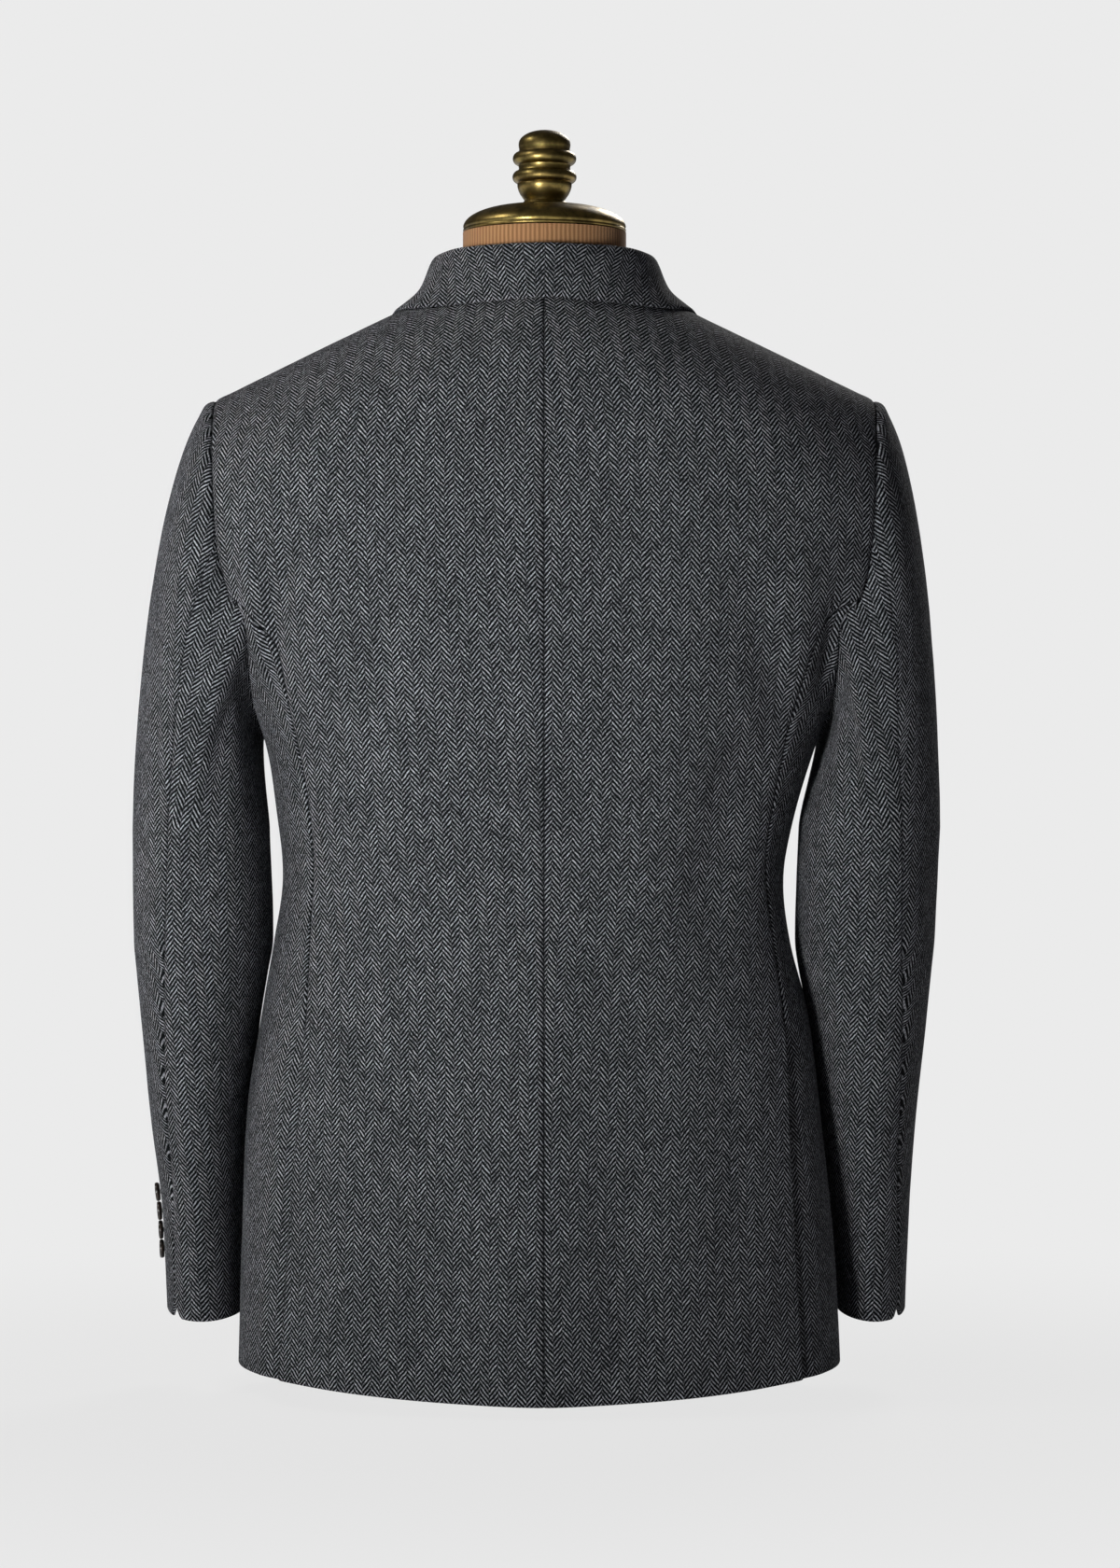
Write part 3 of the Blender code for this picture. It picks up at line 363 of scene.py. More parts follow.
def makeHerringbone():
    # woven wool, milled a little: matt, with a faint nap that lights at the edges
    look = weaveLook
    material, shader, add, calc, remap, tint = newMaterial("Herringbone wool, milled")
    noiseAt = lambda scale, detail, out: add(
        "TexNoise", {"Vector": place, "Scale": scale, "Detail": detail}, out)
    place = add("UVMap", {}, uv_map="weave")
    wander = noiseAt(160.0, 1.0, "Color")
    shift = add("VectorMath", {0: wander, 1: (0.0008, 0.0016, 0), 2: place}, operation="MULTIPLY_ADD")
    x = add("SeparateXYZ", {0: shift})
    y = x.node.outputs["Y"]
    climb = calc("MULTIPLY_ADD", calc("PINGPONG", x, look["turn"]), look["slope"], y)
    # the diagonals break by half a line at each turn
    count = calc("DIVIDE", x, look["turn"])
    whole = calc("FLOOR", count)
    phase = calc("MULTIPLY_ADD", whole, 0.5, calc("DIVIDE", climb, look["line"]))
    wave = calc("SINE", calc("MULTIPLY", phase, 2 * math.pi))
    lines = remap(wave, -0.05, 0.95, curve="SMOOTHSTEP")

    def chance(a, b, low, high, scale=None):
        # an even choice between low and high for each cell
        cell = add("CombineXYZ", {0: a, 1: b})
        if scale:
            cell = add("VectorMath", {0: cell, "Scale": scale}, operation="SCALE")
        picked = add("TexWhiteNoise", {"Vector": cell}, "Value", noise_dimensions="2D")
        return remap(picked, newLow=low, newHigh=high)

    # each yarn that floats on the surface takes the light a little differently
    uneven = chance(calc("SNAP", x, look["yarn"]), calc("SNAP", y, look["yarn"] * 1.4), 0.20, 1.45, 1000.0)
    strength = chance(whole, calc("FLOOR", phase), 0.68, 1.12)
    lit = calc("MULTIPLY", calc("MULTIPLY", lines, strength), uneven)
    # where the twill turns, the floats are cut short and a fine dark line shows
    off = calc("PINGPONG", calc("FRACT", count), 0.5)
    shown = calc("MULTIPLY", lit, remap(off, 0.0, 0.10, 0.55, 1.0, "SMOOTHSTEP"))
    tone = remap(noiseAt(28.0, 3.0, 0), 0.3, 0.7, 0.90, 1.10)
    # painted shade: the cloth is darkened along a seam's fine groove, where shade would fall
    seam = add("Attribute", {}, "Fac", attribute_name="seam")
    toneWithSeamShade = calc("MULTIPLY", tone, remap(seam, newLow=1.0, newHigh=look["seam"]))
    raised = calc("MULTIPLY_ADD", noiseAt(900.0, 2.0, 0), 0.5, lit)
    setInputs(shader, {
        "Base Color": tint(calc("MULTIPLY", shown, toneWithSeamShade), look["dark"], look["light"], clamp_factor=False),
        "Normal": add("Bump", {"Height": raised, "Strength": 0.35, "Distance": 0.0003}),
        "Roughness": 0.88, "IOR": 1.5, "Specular IOR Level": 0.05,
        "Sheen Weight": 0.015, "Sheen Roughness": 0.45, "Sheen Tint": toLinear("#b9bcc4"),
    })
    return material


def makeLining():
    # viscose twill lining: dark, with a soft gloss across its fine diagonals
    material, shader, add, _, _, tint = newMaterial("Viscose twill lining")
    place = add("UVMap", {}, uv_map="weave")
    way = {"wave_type": "BANDS", "bands_direction": "DIAGONAL"}
    diagonal = add("TexWave", {"Vector": place, "Scale": 260.0}, "Fac", **way)
    setInputs(shader, {
        "Base Color": tint(diagonal, "#202226", "#2c2f35"),
        "Normal": add("Bump", {"Height": diagonal, "Strength": 0.15, "Distance": 0.0001}),
        "Roughness": 0.42,
    })
    return material


herringbone = makeHerringbone()
liningTwill = makeLining()
print("cloth materials made")


# How the cloth is laid: spacing of its points, its seams and edges
layCut = {
    "spacing": 0.0040,        # between points of the cloth
    "seamSteps": (0.0, 0.0008, 0.0018, 0.0032, 0.0052),
    "tuckWidth": 0.0012, "pressAt": 0.0055, "pressWidth": 0.0035,
    "thick": 0.0015,          # one layer as it looks at a seam
    "hemThick": 0.0026,       # where it is turned up or faced
    "tuck": 0.00080,          # how far the cloth sinks into a seam
    "press": 0.00030,         # stand of the pressed seam allowance beside it
    "seamShade": 0.5, "rimShade": 2.0,   # darkness of the painted shade: its line on the cloth, and more down in the seam
    "seamLine": 0.0010,       # how far beside a seam its painted dark line fades out
    "ripple": 0.00045,        # height of the soft unevenness of worn cloth
    "hemReach": 0.012,        # a turned-up edge is this deep, and thins out over as much again
    "foldFade": 0.3,          # share of a fold's length over which each end of it dies out
    "rimTurns": (45, 90, 135),
}


def steps(length, fineStart=True, fineEnd=True, spacing=None):
    # shares of a length, closer together beside a seam or an edge
    fine = np.array(layCut["seamSteps"]) / length
    start = fine if fineStart else fine[:1]
    end = 1 - (fine if fineEnd else fine[:1])[::-1]
    count = max(int(round((end[0] - start[-1]) * length / (spacing or layCut["spacing"]))), 1)
    between = np.linspace(start[-1], end[0], count + 1)
    return np.concatenate([start[:-1], between, end[1:]])


def foldHeight(points, folds):
    # folds are (path, half width, height): soft ridges, or troughs where the height is negative
    total = np.zeros(points.shape[:-1])
    for path, width, height in folds:
        path = np.asarray(path, float)
        low, high = path.min(axis=0) - 3 * width, path.max(axis=0) + 3 * width
        near = np.all((points > low) & (points < high), axis=-1)
        if not near.any():
            continue
        spots = points[near]
        best, along = np.full(len(spots), np.inf), np.zeros(len(spots))
        gone = 0.0
        for a, b, size in zip(path[:-1], path[1:], np.linalg.norm(np.diff(path, axis=0), axis=1)):
            t = np.clip(((spots - a) @ (b - a)) / size**2, 0, 1)
            away = np.linalg.norm(spots - a - t[:, None] * (b - a), axis=1)
            closer = away < best
            best = np.where(closer, away, best)
            along = np.where(closer, gone + t * size, along)
            gone += size
        share = along / gone
        fade = ease(share / layCut["foldFade"]) * ease((1 - share) / layCut["foldFade"])
        total[near] += height * fade * np.exp(-(best / width) ** 2)
    return total


def roughness(points, scale, seed):
    # soft unevenness, about -1 to 1
    flat = points.reshape(-1, 3) * scale + seed
    return np.array([noise.noise(Vector(p)) for p in flat]).reshape(points.shape[:-1])


def edgeDistances(points):
    # distances from the first and last column and from the first and last row
    fromLow, fromLeft = (running(np.linalg.norm(np.diff(points, axis=k), axis=2), k) for k in (0, 1))
    return {
        "firstColumn": fromLeft, "lastColumn": fromLeft[:, -1:] - fromLeft,
        "firstRow": fromLow, "lastRow": fromLow[-1:] - fromLow,
    }


def relief(points, seams, folds, seed):
    # height of a panel's surface over its plain shell: seams, folds and ripple
    away = edgeDistances(points)
    height = foldHeight(points, folds)
    for name, share in seams.items():
        height -= share * layCut["tuck"] * np.exp(-(away[name] / layCut["tuckWidth"]) ** 2)
        beside = (away[name] - layCut["pressAt"]) / layCut["pressWidth"]
        height += share * layCut["press"] * np.exp(-beside ** 2)
    height += layCut["ripple"] * (0.7 * roughness(points, 17.0, seed) + 0.3 * roughness(points, 48.0, seed + 3))
    return height


def layWeave(points, normals, uv, held, warp, turn):
    # lays the weave over the rows that aren't held, its warp along one direction, as evenly as it can lie
    def differences(axis):
        step = np.diff(points, axis=axis)
        facing = unit(normals[1:] + normals[:-1]) if axis == 0 else unit(normals[:, 1:] + normals[:, :-1])
        along = unit(warp - (facing @ warp)[..., None] * facing)
        across = np.cross(facing, along) * turn
        flat = np.stack(((step * across).sum(axis=-1), (step * along).sum(axis=-1)), axis=-1)
        return flat, np.linalg.norm(step, axis=-1)

    (down, downSize), (over, overSize) = differences(0), differences(1)
    spread = np.pad(overSize, ((0, 0), (1, 1)), mode="edge")
    downWeight = ((spread[1:, 1:] + spread[1:, :-1]) / (2 * downSize + 1e-6))[..., None]
    spread = np.pad(downSize, ((1, 1), (0, 0)), mode="edge")
    overWeight = ((spread[1:, 1:] + spread[:-1, 1:]) / (2 * overSize + 1e-6))[..., None]
    free = ~held[..., None]

    def gather(a, b):
        total = np.zeros_like(uv)
        total[1:] += a
        total[:-1] -= a
        total[:, 1:] += b
        total[:, :-1] -= b
        return total * free

    def apply(f):
        return gather(downWeight * np.diff(f, axis=0), overWeight * np.diff(f, axis=1))

    scale = np.zeros_like(uv[..., :1])
    scale[1:] += downWeight
    scale[:-1] += downWeight
    scale[:, 1:] += overWeight
    scale[:, :-1] += overWeight
    found = uv.copy()
    left = gather(downWeight * down, overWeight * over) - apply(found)
    eased = left / scale
    way = eased.copy()
    size = (left * eased).sum(axis=(0, 1))
    for _ in range(weaveLook["rounds"]):
        pushed = apply(way)
        step = size / np.maximum((way * pushed).sum(axis=(0, 1)), 1e-30)
        found += step * way
        left -= step * pushed
        eased = left / scale
        fresh = (left * eased).sum(axis=(0, 1))
        way = eased + fresh / np.maximum(size, 1e-30) * way
        size = fresh
    return found


def thickness(points, edges, base=layCut["thick"]):
    # the cloth's thickness, more where an edge is turned up or faced
    away, reach = edgeDistances(points), layCut["hemReach"]
    thick = np.full(points.shape[:-1], base)
    for name in edges:
        thick = np.maximum(thick, mix(layCut["hemThick"], base, ease((away[name] - reach) / reach)))
    return thick


def edgeLines(grid, name):
    # the three lines of points beside an edge, from the edge inwards
    order = (0, 1, 2) if name.startswith("first") else (-1, -2, -3)
    return [grid[:, k] if name.endswith("Column") else grid[k] for k in order]


def pullIn(points, edges, uv):
    # draws seam edges back, and their weave with them, so that their rounded rims just meet
    by = layCut["thick"] / 2
    out = points.copy()
    for name in edges:
        at, moved, weave = (edgeLines(grid, name) for grid in (points, out, uv))
        for k, share in ((0, 1.0), (1, 0.5)):
            way = at[k + 1] - at[k]
            size = np.linalg.norm(way, axis=-1, keepdims=True)
            moved[k] += share * by * way / size
            weave[k] += share * by / size * (weave[k + 1] - weave[k])
    return out


def seamShade(points, seams):
    # painted shade in the seams: darkest on a seam's line, none beside it
    away = edgeDistances(points)
    total = np.zeros(points.shape[:-1])
    for name, share in seams.items():
        total = np.maximum(total, layCut["seamShade"] * share * (1 - ease(away[name] / layCut["seamLine"])))
    return total


def makeCloth(name, node, points, normals, uv, thick, shade=None, keep=None, inside=True):
    # a thin shell: the outer face, the same moved in by the thickness, and a rounded rim
    index = np.arange(thick.size).reshape(thick.shape)
    quads = np.stack((index[:-1, :-1], index[:-1, 1:], index[1:, 1:], index[1:, :-1]), axis=-1)
    quads = quads.reshape(-1, 4) if keep is None else quads[keep]
    flat, facing, flatUv = points.reshape(-1, 3), normals.reshape(-1, 3), uv.reshape(-1, 2)
    across = flat[quads]
    turned = np.cross(across[:, 2] - across[:, 0], across[:, 3] - across[:, 1])
    if (turned * facing[quads[:, 0]]).sum() < 0:
        quads = quads[:, ::-1]
    ends = np.concatenate([quads[:, [k, (k + 1) % 4]] for k in range(4)])
    _, at, count = np.unique(np.sort(ends, axis=1), axis=0, return_index=True, return_counts=True)
    rim = ends[at[count == 1]]
    way = np.cross(unit(flat[rim[:, 1]] - flat[rim[:, 0]]), facing[rim[:, 0]])
    outwards = np.zeros_like(flat)
    for end in (0, 1):
        np.add.at(outwards, rim[:, end], way)
    outwards = unit(outwards)
    half = thick.reshape(-1, 1) / 2
    rimIds = np.unique(rim)
    # the weave and the seam's painted shade run on over the rim
    onward = np.zeros_like(uv)
    for edge in ("firstColumn", "lastColumn", "firstRow", "lastRow"):
        outer, inner = edgeLines(uv, edge)[:2]
        edgeLines(onward, edge)[0][:] = unit(outer - inner)
    onward = onward.reshape(-1, 2)[rimIds] * (half * math.pi / 4)[rimIds]
    line = np.zeros(thick.size) if shade is None else shade.ravel()
    layers, weave = [flat, flat - 2 * half * facing], [flatUv, flatUv]
    for k, turn in enumerate(layCut["rimTurns"]):
        c, s = math.cos(math.radians(turn)), math.sin(math.radians(turn))
        layers.append((flat - half * facing + half * (c * facing + s * outwards))[rimIds])
        weave.append(flatUv[rimIds] + (k + 1) * onward)
    # the rim, down in the seam, takes a darker painted shade
    line = np.concatenate([line, line] + [np.minimum(layCut["rimShade"] * line[rimIds], 1)] * 3)
    # each rim edge's four faces, from the outer layer round to the inner one
    steps = [2 * thick.size + k * len(rimIds) + np.searchsorted(rimIds, rim) for k in range(3)]
    ladder = np.stack([rim, *steps, thick.size + rim])
    rounded = np.stack((ladder[:-1, :, 1], ladder[:-1, :, 0], ladder[1:, :, 0], ladder[1:, :, 1]), axis=-1)
    faces = np.concatenate([quads, quads[:, ::-1] + thick.size, rounded.swapaxes(0, 1).reshape(-1, 4)])
    used, packed = np.unique(faces, return_inverse=True)
    mesh = newMesh(name, np.concatenate(layers)[used].tolist(), packed.reshape(-1, 4).tolist(),
                   herringbone, liningTwill if inside else herringbone)
    corners = np.empty(len(mesh.loops), int)
    mesh.loops.foreach_get("vertex_index", corners)
    mesh.uv_layers.new(name="weave").data.foreach_set("uv", np.concatenate(weave)[used][corners].ravel())
    mesh.attributes.new("seam", "FLOAT", "POINT").data.foreach_set("value", line[used])
    lined = np.zeros(len(faces), int)
    lined[len(quads):2 * len(quads)] = 1
    mesh.polygons.foreach_set("material_index", lined)
    mesh.update()
    return addPiece(name, mesh, [node])


def makePanel(part, side, points, normals, uv, thick, joins, shades, keep=None):
    # one of the coat's panels, its seam edges drawn back and given painted shade
    points = pullIn(points, joins, uv)
    name = sideWord(side)
    shade = seamShade(points, shades)
    return makeCloth(f"{part}_panel_{name}", f"{part}_{name}", points, normals, uv, thick, shade, keep)


# The main creases, placed behind on the left and on the right, and on both fronts:
# (path, half width, height), where a negative height is a trough
foldPlan = {
    "left": [
        # drape beside the back of the armhole: a full ridge, then the trough it breaks into
        (((0.208, 0.612), (0.205, 0.583), (0.199, 0.552), (0.194, 0.520), (0.189, 0.490)), 0.0095, 0.0040),
        (((0.170, 0.605), (0.175, 0.583), (0.181, 0.556), (0.184, 0.530), (0.182, 0.500)), 0.0085, -0.0042),
        (((0.150, 0.560), (0.158, 0.520), (0.163, 0.480), (0.160, 0.440)), 0.020, 0.0020),
        # the skirt
        (((0.100, 0.150), (0.086, 0.110), (0.070, 0.078), (0.052, 0.050)), 0.014, -0.0014),
        (((0.135, 0.200), (0.128, 0.140), (0.125, 0.080), (0.124, 0.020)), 0.022, 0.0016),
        # the skirt stands out in one soft ridge down the centre seam
        (((0.012, 0.400), (0.006, 0.300), (0.004, 0.150), (0.004, -0.120)), 0.042, 0.0080),
    ],
    "right": [
        (((0.222, 0.600), (0.214, 0.560), (0.208, 0.528), (0.202, 0.500)), 0.0085, 0.0030),
        (((0.203, 0.575), (0.200, 0.548), (0.196, 0.518), (0.190, 0.486)), 0.0080, -0.0036),
        (((0.130, 0.610), (0.136, 0.565), (0.148, 0.530), (0.158, 0.495), (0.162, 0.440)), 0.017, -0.0046),
        (((0.170, 0.600), (0.173, 0.555), (0.176, 0.520), (0.176, 0.470)), 0.013, 0.0026),
        # the hollow beside the waist
        (((0.150, 0.490), (0.132, 0.430), (0.120, 0.375), (0.112, 0.290)), 0.024, -0.0055),
        # the skirt
        (((0.047, 0.150), (0.050, 0.100), (0.052, 0.060), (0.053, 0.012)), 0.013, -0.0024),
        (((0.086, 0.240), (0.092, 0.160), (0.094, 0.090), (0.096, 0.014)), 0.020, 0.0016),
        (((0.120, 0.290), (0.128, 0.200), (0.132, 0.120), (0.134, 0.020)), 0.018, -0.0014),
    ],
    "front": [
        # pull from the closing button, and soft drape above the pockets
        (((0.020, 0.378), (0.055, 0.392), (0.090, 0.402)), 0.009, -0.0014),
        (((0.022, 0.362), (0.058, 0.352), (0.098, 0.348)), 0.010, -0.0012),
        (((0.150, 0.500), (0.140, 0.460), (0.128, 0.420), (0.118, 0.390)), 0.014, -0.0020),
        (((0.176, 0.600), (0.182, 0.570), (0.186, 0.540), (0.186, 0.510)), 0.010, 0.0026),
        (((0.120, 0.160), (0.122, 0.110), (0.126, 0.060), (0.130, 0.025)), 0.018, -0.0018),
    ],
}
sleeveFoldPlan = {
    # (place round the armhole, how far down from 0 to 2)
    "left": [
        (((0.30, 0.22), (0.285, 0.42), (0.275, 0.66), (0.27, 0.90)), 0.011, 0.0030),
        (((0.355, 0.20), (0.345, 0.42), (0.335, 0.70), (0.335, 1.00)), 0.012, -0.0045),
        (((0.34, 0.96), (0.30, 1.10), (0.25, 1.20)), 0.010, -0.0030),
        (((0.36, 1.12), (0.31, 1.24), (0.27, 1.30)), 0.010, -0.0026),
        (((0.20, 1.08), (0.155, 1.14), (0.11, 1.17)), 0.009, -0.0014),
        (((0.22, 1.26), (0.17, 1.31), (0.12, 1.33)), 0.010, -0.0012),
        (((0.24, 1.50), (0.22, 1.66), (0.20, 1.82)), 0.012, -0.0012),
    ],
    "right": [
        (((0.255, 0.12), (0.25, 0.35), (0.25, 0.58)), 0.010, 0.0024),
        (((0.30, 0.48), (0.25, 0.72), (0.19, 0.84)), 0.010, -0.0022),
        (((0.36, 0.28), (0.345, 0.55), (0.335, 0.90)), 0.012, -0.0040),
        (((0.33, 0.98), (0.29, 1.12), (0.24, 1.22)), 0.010, -0.0026),
        (((0.15, 0.95), (0.13, 1.12), (0.12, 1.30)), 0.012, -0.0016),
        (((0.35, 1.22), (0.30, 1.34), (0.26, 1.38)), 0.010, -0.0022),
        (((0.25, 1.55), (0.22, 1.70), (0.20, 1.85)), 0.012, -0.0010),
    ],
}


def bodyFolds():
    return [([onBody(side, part != "front", x, z)[0] for x, z in spots], width, height)
            for side in (1, -1) for part in (sideWord(side), "front")
            for spots, width, height in foldPlan[part]]


bodyFolded = bodyFolds()
folds = {(part, side): bodyFolded for side in (1, -1) for part in ("back", "side", "front")}


# What the weave's tables reach: how far out, how high, and where a panel starts to hang
weaveReach = {"out": 0.262, "up": 0.68, "top": 0.76, "hang": 0.56, "steepest": 0.15, "crowding": 2.5}


def lengthTables(side, back):
    # lengths over the shell: up each warp thread, and across from the centre line
    xs = np.linspace(0, weaveReach["out"], 100)
    share = np.linspace(0, 1, 220)
    z = ridge(xs)[:, None] * (1 - (1 - share[None, :]) ** weaveReach["crowding"])
    x = np.minimum(xs[:, None], 0.985 * halfWidth(side, z))
    y = shellY(side, back, x, z)
    # below the chest the panels hang, so that a thread's length is nearly its height
    drop, rise = np.diff(y, axis=1), np.diff(z, axis=1)
    most = weaveReach["steepest"] * rise
    drop = np.where(z[:, 1:] < weaveReach["hang"], np.clip(drop, -most, most), drop)
    zs = np.linspace(0, weaveReach["up"], 160)
    turn = np.linspace(0, 1, 120)
    x = halfWidth(side, zs)[:, None] * np.sin(turn * math.pi / 2)[None, :]
    y = shellY(side, back, x, zs[:, None] + 0 * x)
    out = np.hypot(np.diff(x, axis=1), np.diff(y, axis=1))
    return running(np.hypot(rise, drop), 1), running(out, 1)


def lookUp(table, i, j):
    # reads a table between its points; i and j run from 0 to 1
    rows, columns = table.shape
    i = np.clip(i, 0, 1) * (rows - 1)
    j = np.clip(j, 0, 1) * (columns - 1)
    i0 = np.minimum(i.astype(int), rows - 2)
    j0 = np.minimum(j.astype(int), columns - 2)
    a, b = i - i0, j - j0
    low = table[i0, j0] * (1 - b) + table[i0, j0 + 1] * b
    high = table[i0 + 1, j0] * (1 - b) + table[i0 + 1, j0 + 1] * b
    return low * (1 - a) + high * a


tables = {(side, back): lengthTables(side, back) for side in (1, -1) for back in (True, False)}

# height, then how far the stripes lean outwards going down, left and right, in degrees
weaveLean = np.array((
    (0.000, 0.0, 2.0), (0.051, 0.0, 2.0), (0.102, 0.5, 1.4), (0.152, 1.2, -0.6), (0.203, 0.0, -1.5),
    (0.253, -1.0, -1.6), (0.304, -1.0, -3.2), (0.354, -2.2, -2.5), (0.405, -2.6, -0.3),
    (0.455, -3.4, 0.0), (0.506, -3.6, 0.0), (0.556, -2.6, 0.6), (0.607, -1.1, 1.0),
    (0.657, 1.1, 4.6), (0.708, 4.6, 10.0), (0.760, 5.0, 10.0),
))


def weaveDrift(side, z):
    # how far a stripe has moved outwards on its way down from the neck
    levels = np.linspace(weaveReach["top"], 0.0, 153)
    lean = np.tan(np.radians(readRows(weaveLean, 1 if side > 0 else 2, levels)))
    return np.interp(-z, -levels, running(lean[1:] * 0.005))


def weaveAt(side, back, x, z):
    # where a point lies on the flat cloth, its warp running up the coat
    up, out = tables[side, back]
    size = np.abs(x)
    top = ridge(size)
    v = lookUp(up, size / weaveReach["out"], 1 - (1 - np.clip(z / top, 0, 1)) ** (1 / weaveReach["crowding"]))
    low = np.minimum(z, weaveReach["up"])
    turn = np.arcsin(np.clip(size / halfWidth(side, low), 0, 1)) / (math.pi / 2)
    u = lookUp(out, low / weaveReach["up"], turn) * np.sign(x)
    if back:
        drawn = ease((bodyCut["easeTop"] - z) / bodyCut["easeFade"])
        u = (u - weaveDrift(side, z)) * (1 + weaveLook["ease"] * drawn)
    return np.stack((side * u, v), axis=-1)


bodyCut = {
    "backColumns": 0.215, "backRows": 0.55, "yokeRows": 66,
    "sideColumns": 0.12, "sideRows": 0.45, "underlapColumns": 9,
    "frontColumns": 0.22, "frontRows": 0.52, "frontYokeRows": 70,
    "ventFade": 0.012, "sideVentFade": 0.02,
    "ventCurl": 0.0008,       # how far the back's vent edge stands off
    "ventCurlReach": 0.010, "ventFold": 0.008, "ventFoldFade": 0.010, "ventDipReach": 0.022,
    "underlapTop": 0.018,     # the underlap ends this far below the vent's top
    "yokeShape": 2.2, "cornerShape": 6,
    "evenWeave": 0.40,        # the side panels' weave runs level below this height
    "easeTop": 0.42, "easeFade": 0.15,
}


def path(side, back, *spots):
    # a fold's path over the body, from (x, z) spots
    return [onBody(side, back, x, z)[0] for x, z in spots]


def backGrid(side, across, low, high):
    cut = coatCut
    seamAt = lambda z: readRows(sideBackRows, sideColumn(side), z)
    foot = hemLevel(angleOf(side, True, across * seamAt(cut["hemSide"]), cut["hemSide"]))
    zLow = mix(foot[None, :], cut["sideBackTop"], low[:, None])
    xLow = across[None, :] * seamAt(zLow)
    rise = 1 - (1 - high[1:, None]) ** bodyCut["yokeShape"]
    zHigh = mix(cut["sideBackTop"], neckline(across * cut["shoulderHalf"])[None, :], rise)
    xHigh = across[None, :] * readRows(armholeRows, 1, zHigh)
    return np.concatenate([xLow, xHigh]), np.concatenate([zLow, zHigh])


def makeBack(side):
    cut = bodyCut
    low = steps(cut["backRows"], True, False)
    x, z = backGrid(side, steps(cut["backColumns"]), low, np.linspace(0, 1, cut["yokeRows"] + 1))
    points, normals = onBody(side, True, x, z)
    vent = ease((coatCut["ventTop"] - z) / cut["ventFade"])
    sunk = {"firstColumn": 1.0, "lastColumn": 1 - vent, "lastRow": 1.0}
    height = relief(points, sunk, folds["back", side], 5.0 * side)
    away = edgeDistances(points)["lastColumn"]
    height += cut["ventCurl"] * vent * np.exp(-(away / cut["ventCurlReach"]) ** 2)
    uv = weaveAt(side, True, x, z)
    points = points + height[..., None] * normals
    thick = thickness(points, ("firstRow",))
    fold = mix(layCut["hemThick"], layCut["thick"], ease((away - cut["ventFold"]) / cut["ventFoldFade"]))
    thick = np.maximum(thick, np.where(vent > 0.5, fold, 0))
    return makePanel("back", side, points, normals, uv, thick, sunk, dict.fromkeys(sunk, 1.0))


def sideGrid(side, c, rows):
    cut = coatCut
    start = lambda z: angleOf(side, True, readRows(sideBackRows, sideColumn(side), z), z)
    end = lambda z: angleOf(side, False, readRows(sideFrontRows, sideColumn(side), z), z)
    foot = hemLevel(mix(start(cut["hemSide"]), end(cut["hemSide"]), c))
    z = mix(foot[None, :], armholeLevel(c)[None, :], rows[:, None])
    return mix(start(z), end(z), c[None, :]), z


def makeSide(side):
    c = steps(bodyCut["sideColumns"])
    rows = steps(bodyCut["sideRows"])
    angle, z = sideGrid(side, c, rows)
    points, normals = roundBody(side, angle, z)
    vent = ease((coatCut["ventTop"] - z) / bodyCut["sideVentFade"])
    seams = {"firstColumn": 1 - vent, "lastColumn": 1.0, "lastRow": 1.0}
    height = relief(points, seams, folds["side", side], 9.0 * side)
    away = edgeDistances(points)["firstColumn"]
    height -= (coatCut["ventDip"] * vent) * (1 - ease(away / bodyCut["ventDipReach"]))
    u = running(np.linalg.norm(np.diff(points[..., :2], axis=1), axis=2), 1)
    u -= u[:, [len(c) // 2]]
    uv = np.stack((side * u, z), axis=-1)
    held = (z[:, :1] < bodyCut["evenWeave"]) & (c > -1)[None, :]
    uv = layWeave(points, normals, uv, held, np.array((0.0, 0.0, 1.0)), 1)
    points = points + height[..., None] * normals
    thick = thickness(points, ("firstRow",))
    points = pullIn(points, seams, uv)
    # the underlap runs on under the back below the vent's top
    count = bodyCut["underlapColumns"]
    gap = coatCut["ventUnderlap"] * (1 - np.linspace(0, 1, count + 1)[:-1])[None, :]
    x = readRows(sideBackRows, sideColumn(side), z[:, :1]) - gap
    strip, stripNormals = onBody(side, True, x, z[:, :1] + 0 * x)
    strip = strip - coatCut["ventDip"] * stripNormals
    stripUv = np.stack((uv[:, :1, 0] - side * gap, z[:, :1] + 0 * gap), axis=-1)
    keep = np.ones((len(rows) - 1, len(c) - 1 + count), bool)
    keep[:, :count] = (z[:-1, :1] < coatCut["ventTop"] - bodyCut["underlapTop"])
    # painted shade along the seams; the underlap gets none
    shade = seamShade(points, dict.fromkeys(seams, 1.0))
    added = (strip, stripNormals, stripUv, thick[:, :1] + 0 * gap, 0 * z[:, :1] * gap)
    points, normals, uv, thick, shade = (
        np.concatenate(pair, axis=1) for pair in zip(added, (points, normals, uv, thick, shade)))
    name = sideWord(side)
    return makeCloth(f"side_panel_{name}", f"side_{name}", points, normals, uv, thick, shade, keep)


def frontGrid(side, u, low, high):
    # u is 0 at the side seam and 1 at the front edge
    cut = coatCut

    def across(z):
        seam, armhole = readRows(sideFrontRows, sideColumn(side), z), readRows(armholeRows, 2, z)
        return mix(np.where(z < cut["sideFrontTop"], seam, armhole), frontEdge(z), u[None, :])

    flat = cut["hemSide"] + np.zeros((1, len(u)))
    foot = hemLevel(angleOf(side, False, np.abs(across(flat)), cut["hemSide"]))
    foot = foot + cut["cornerRise"] * u[None, :] ** bodyCut["cornerShape"]
    zLow = mix(foot, cut["sideFrontTop"], low[:, None])
    top = mix(cut["shoulderHalf"], cut["neckHalf"], u)[None, :]
    rise = 1 - (1 - high[1:, None]) ** bodyCut["yokeShape"]
    zHigh = mix(cut["sideFrontTop"], ridge(top), rise)
    xHigh = mix(across(zHigh), top, rise**2)
    return np.concatenate([across(zLow), xHigh]), np.concatenate([zLow, zHigh])


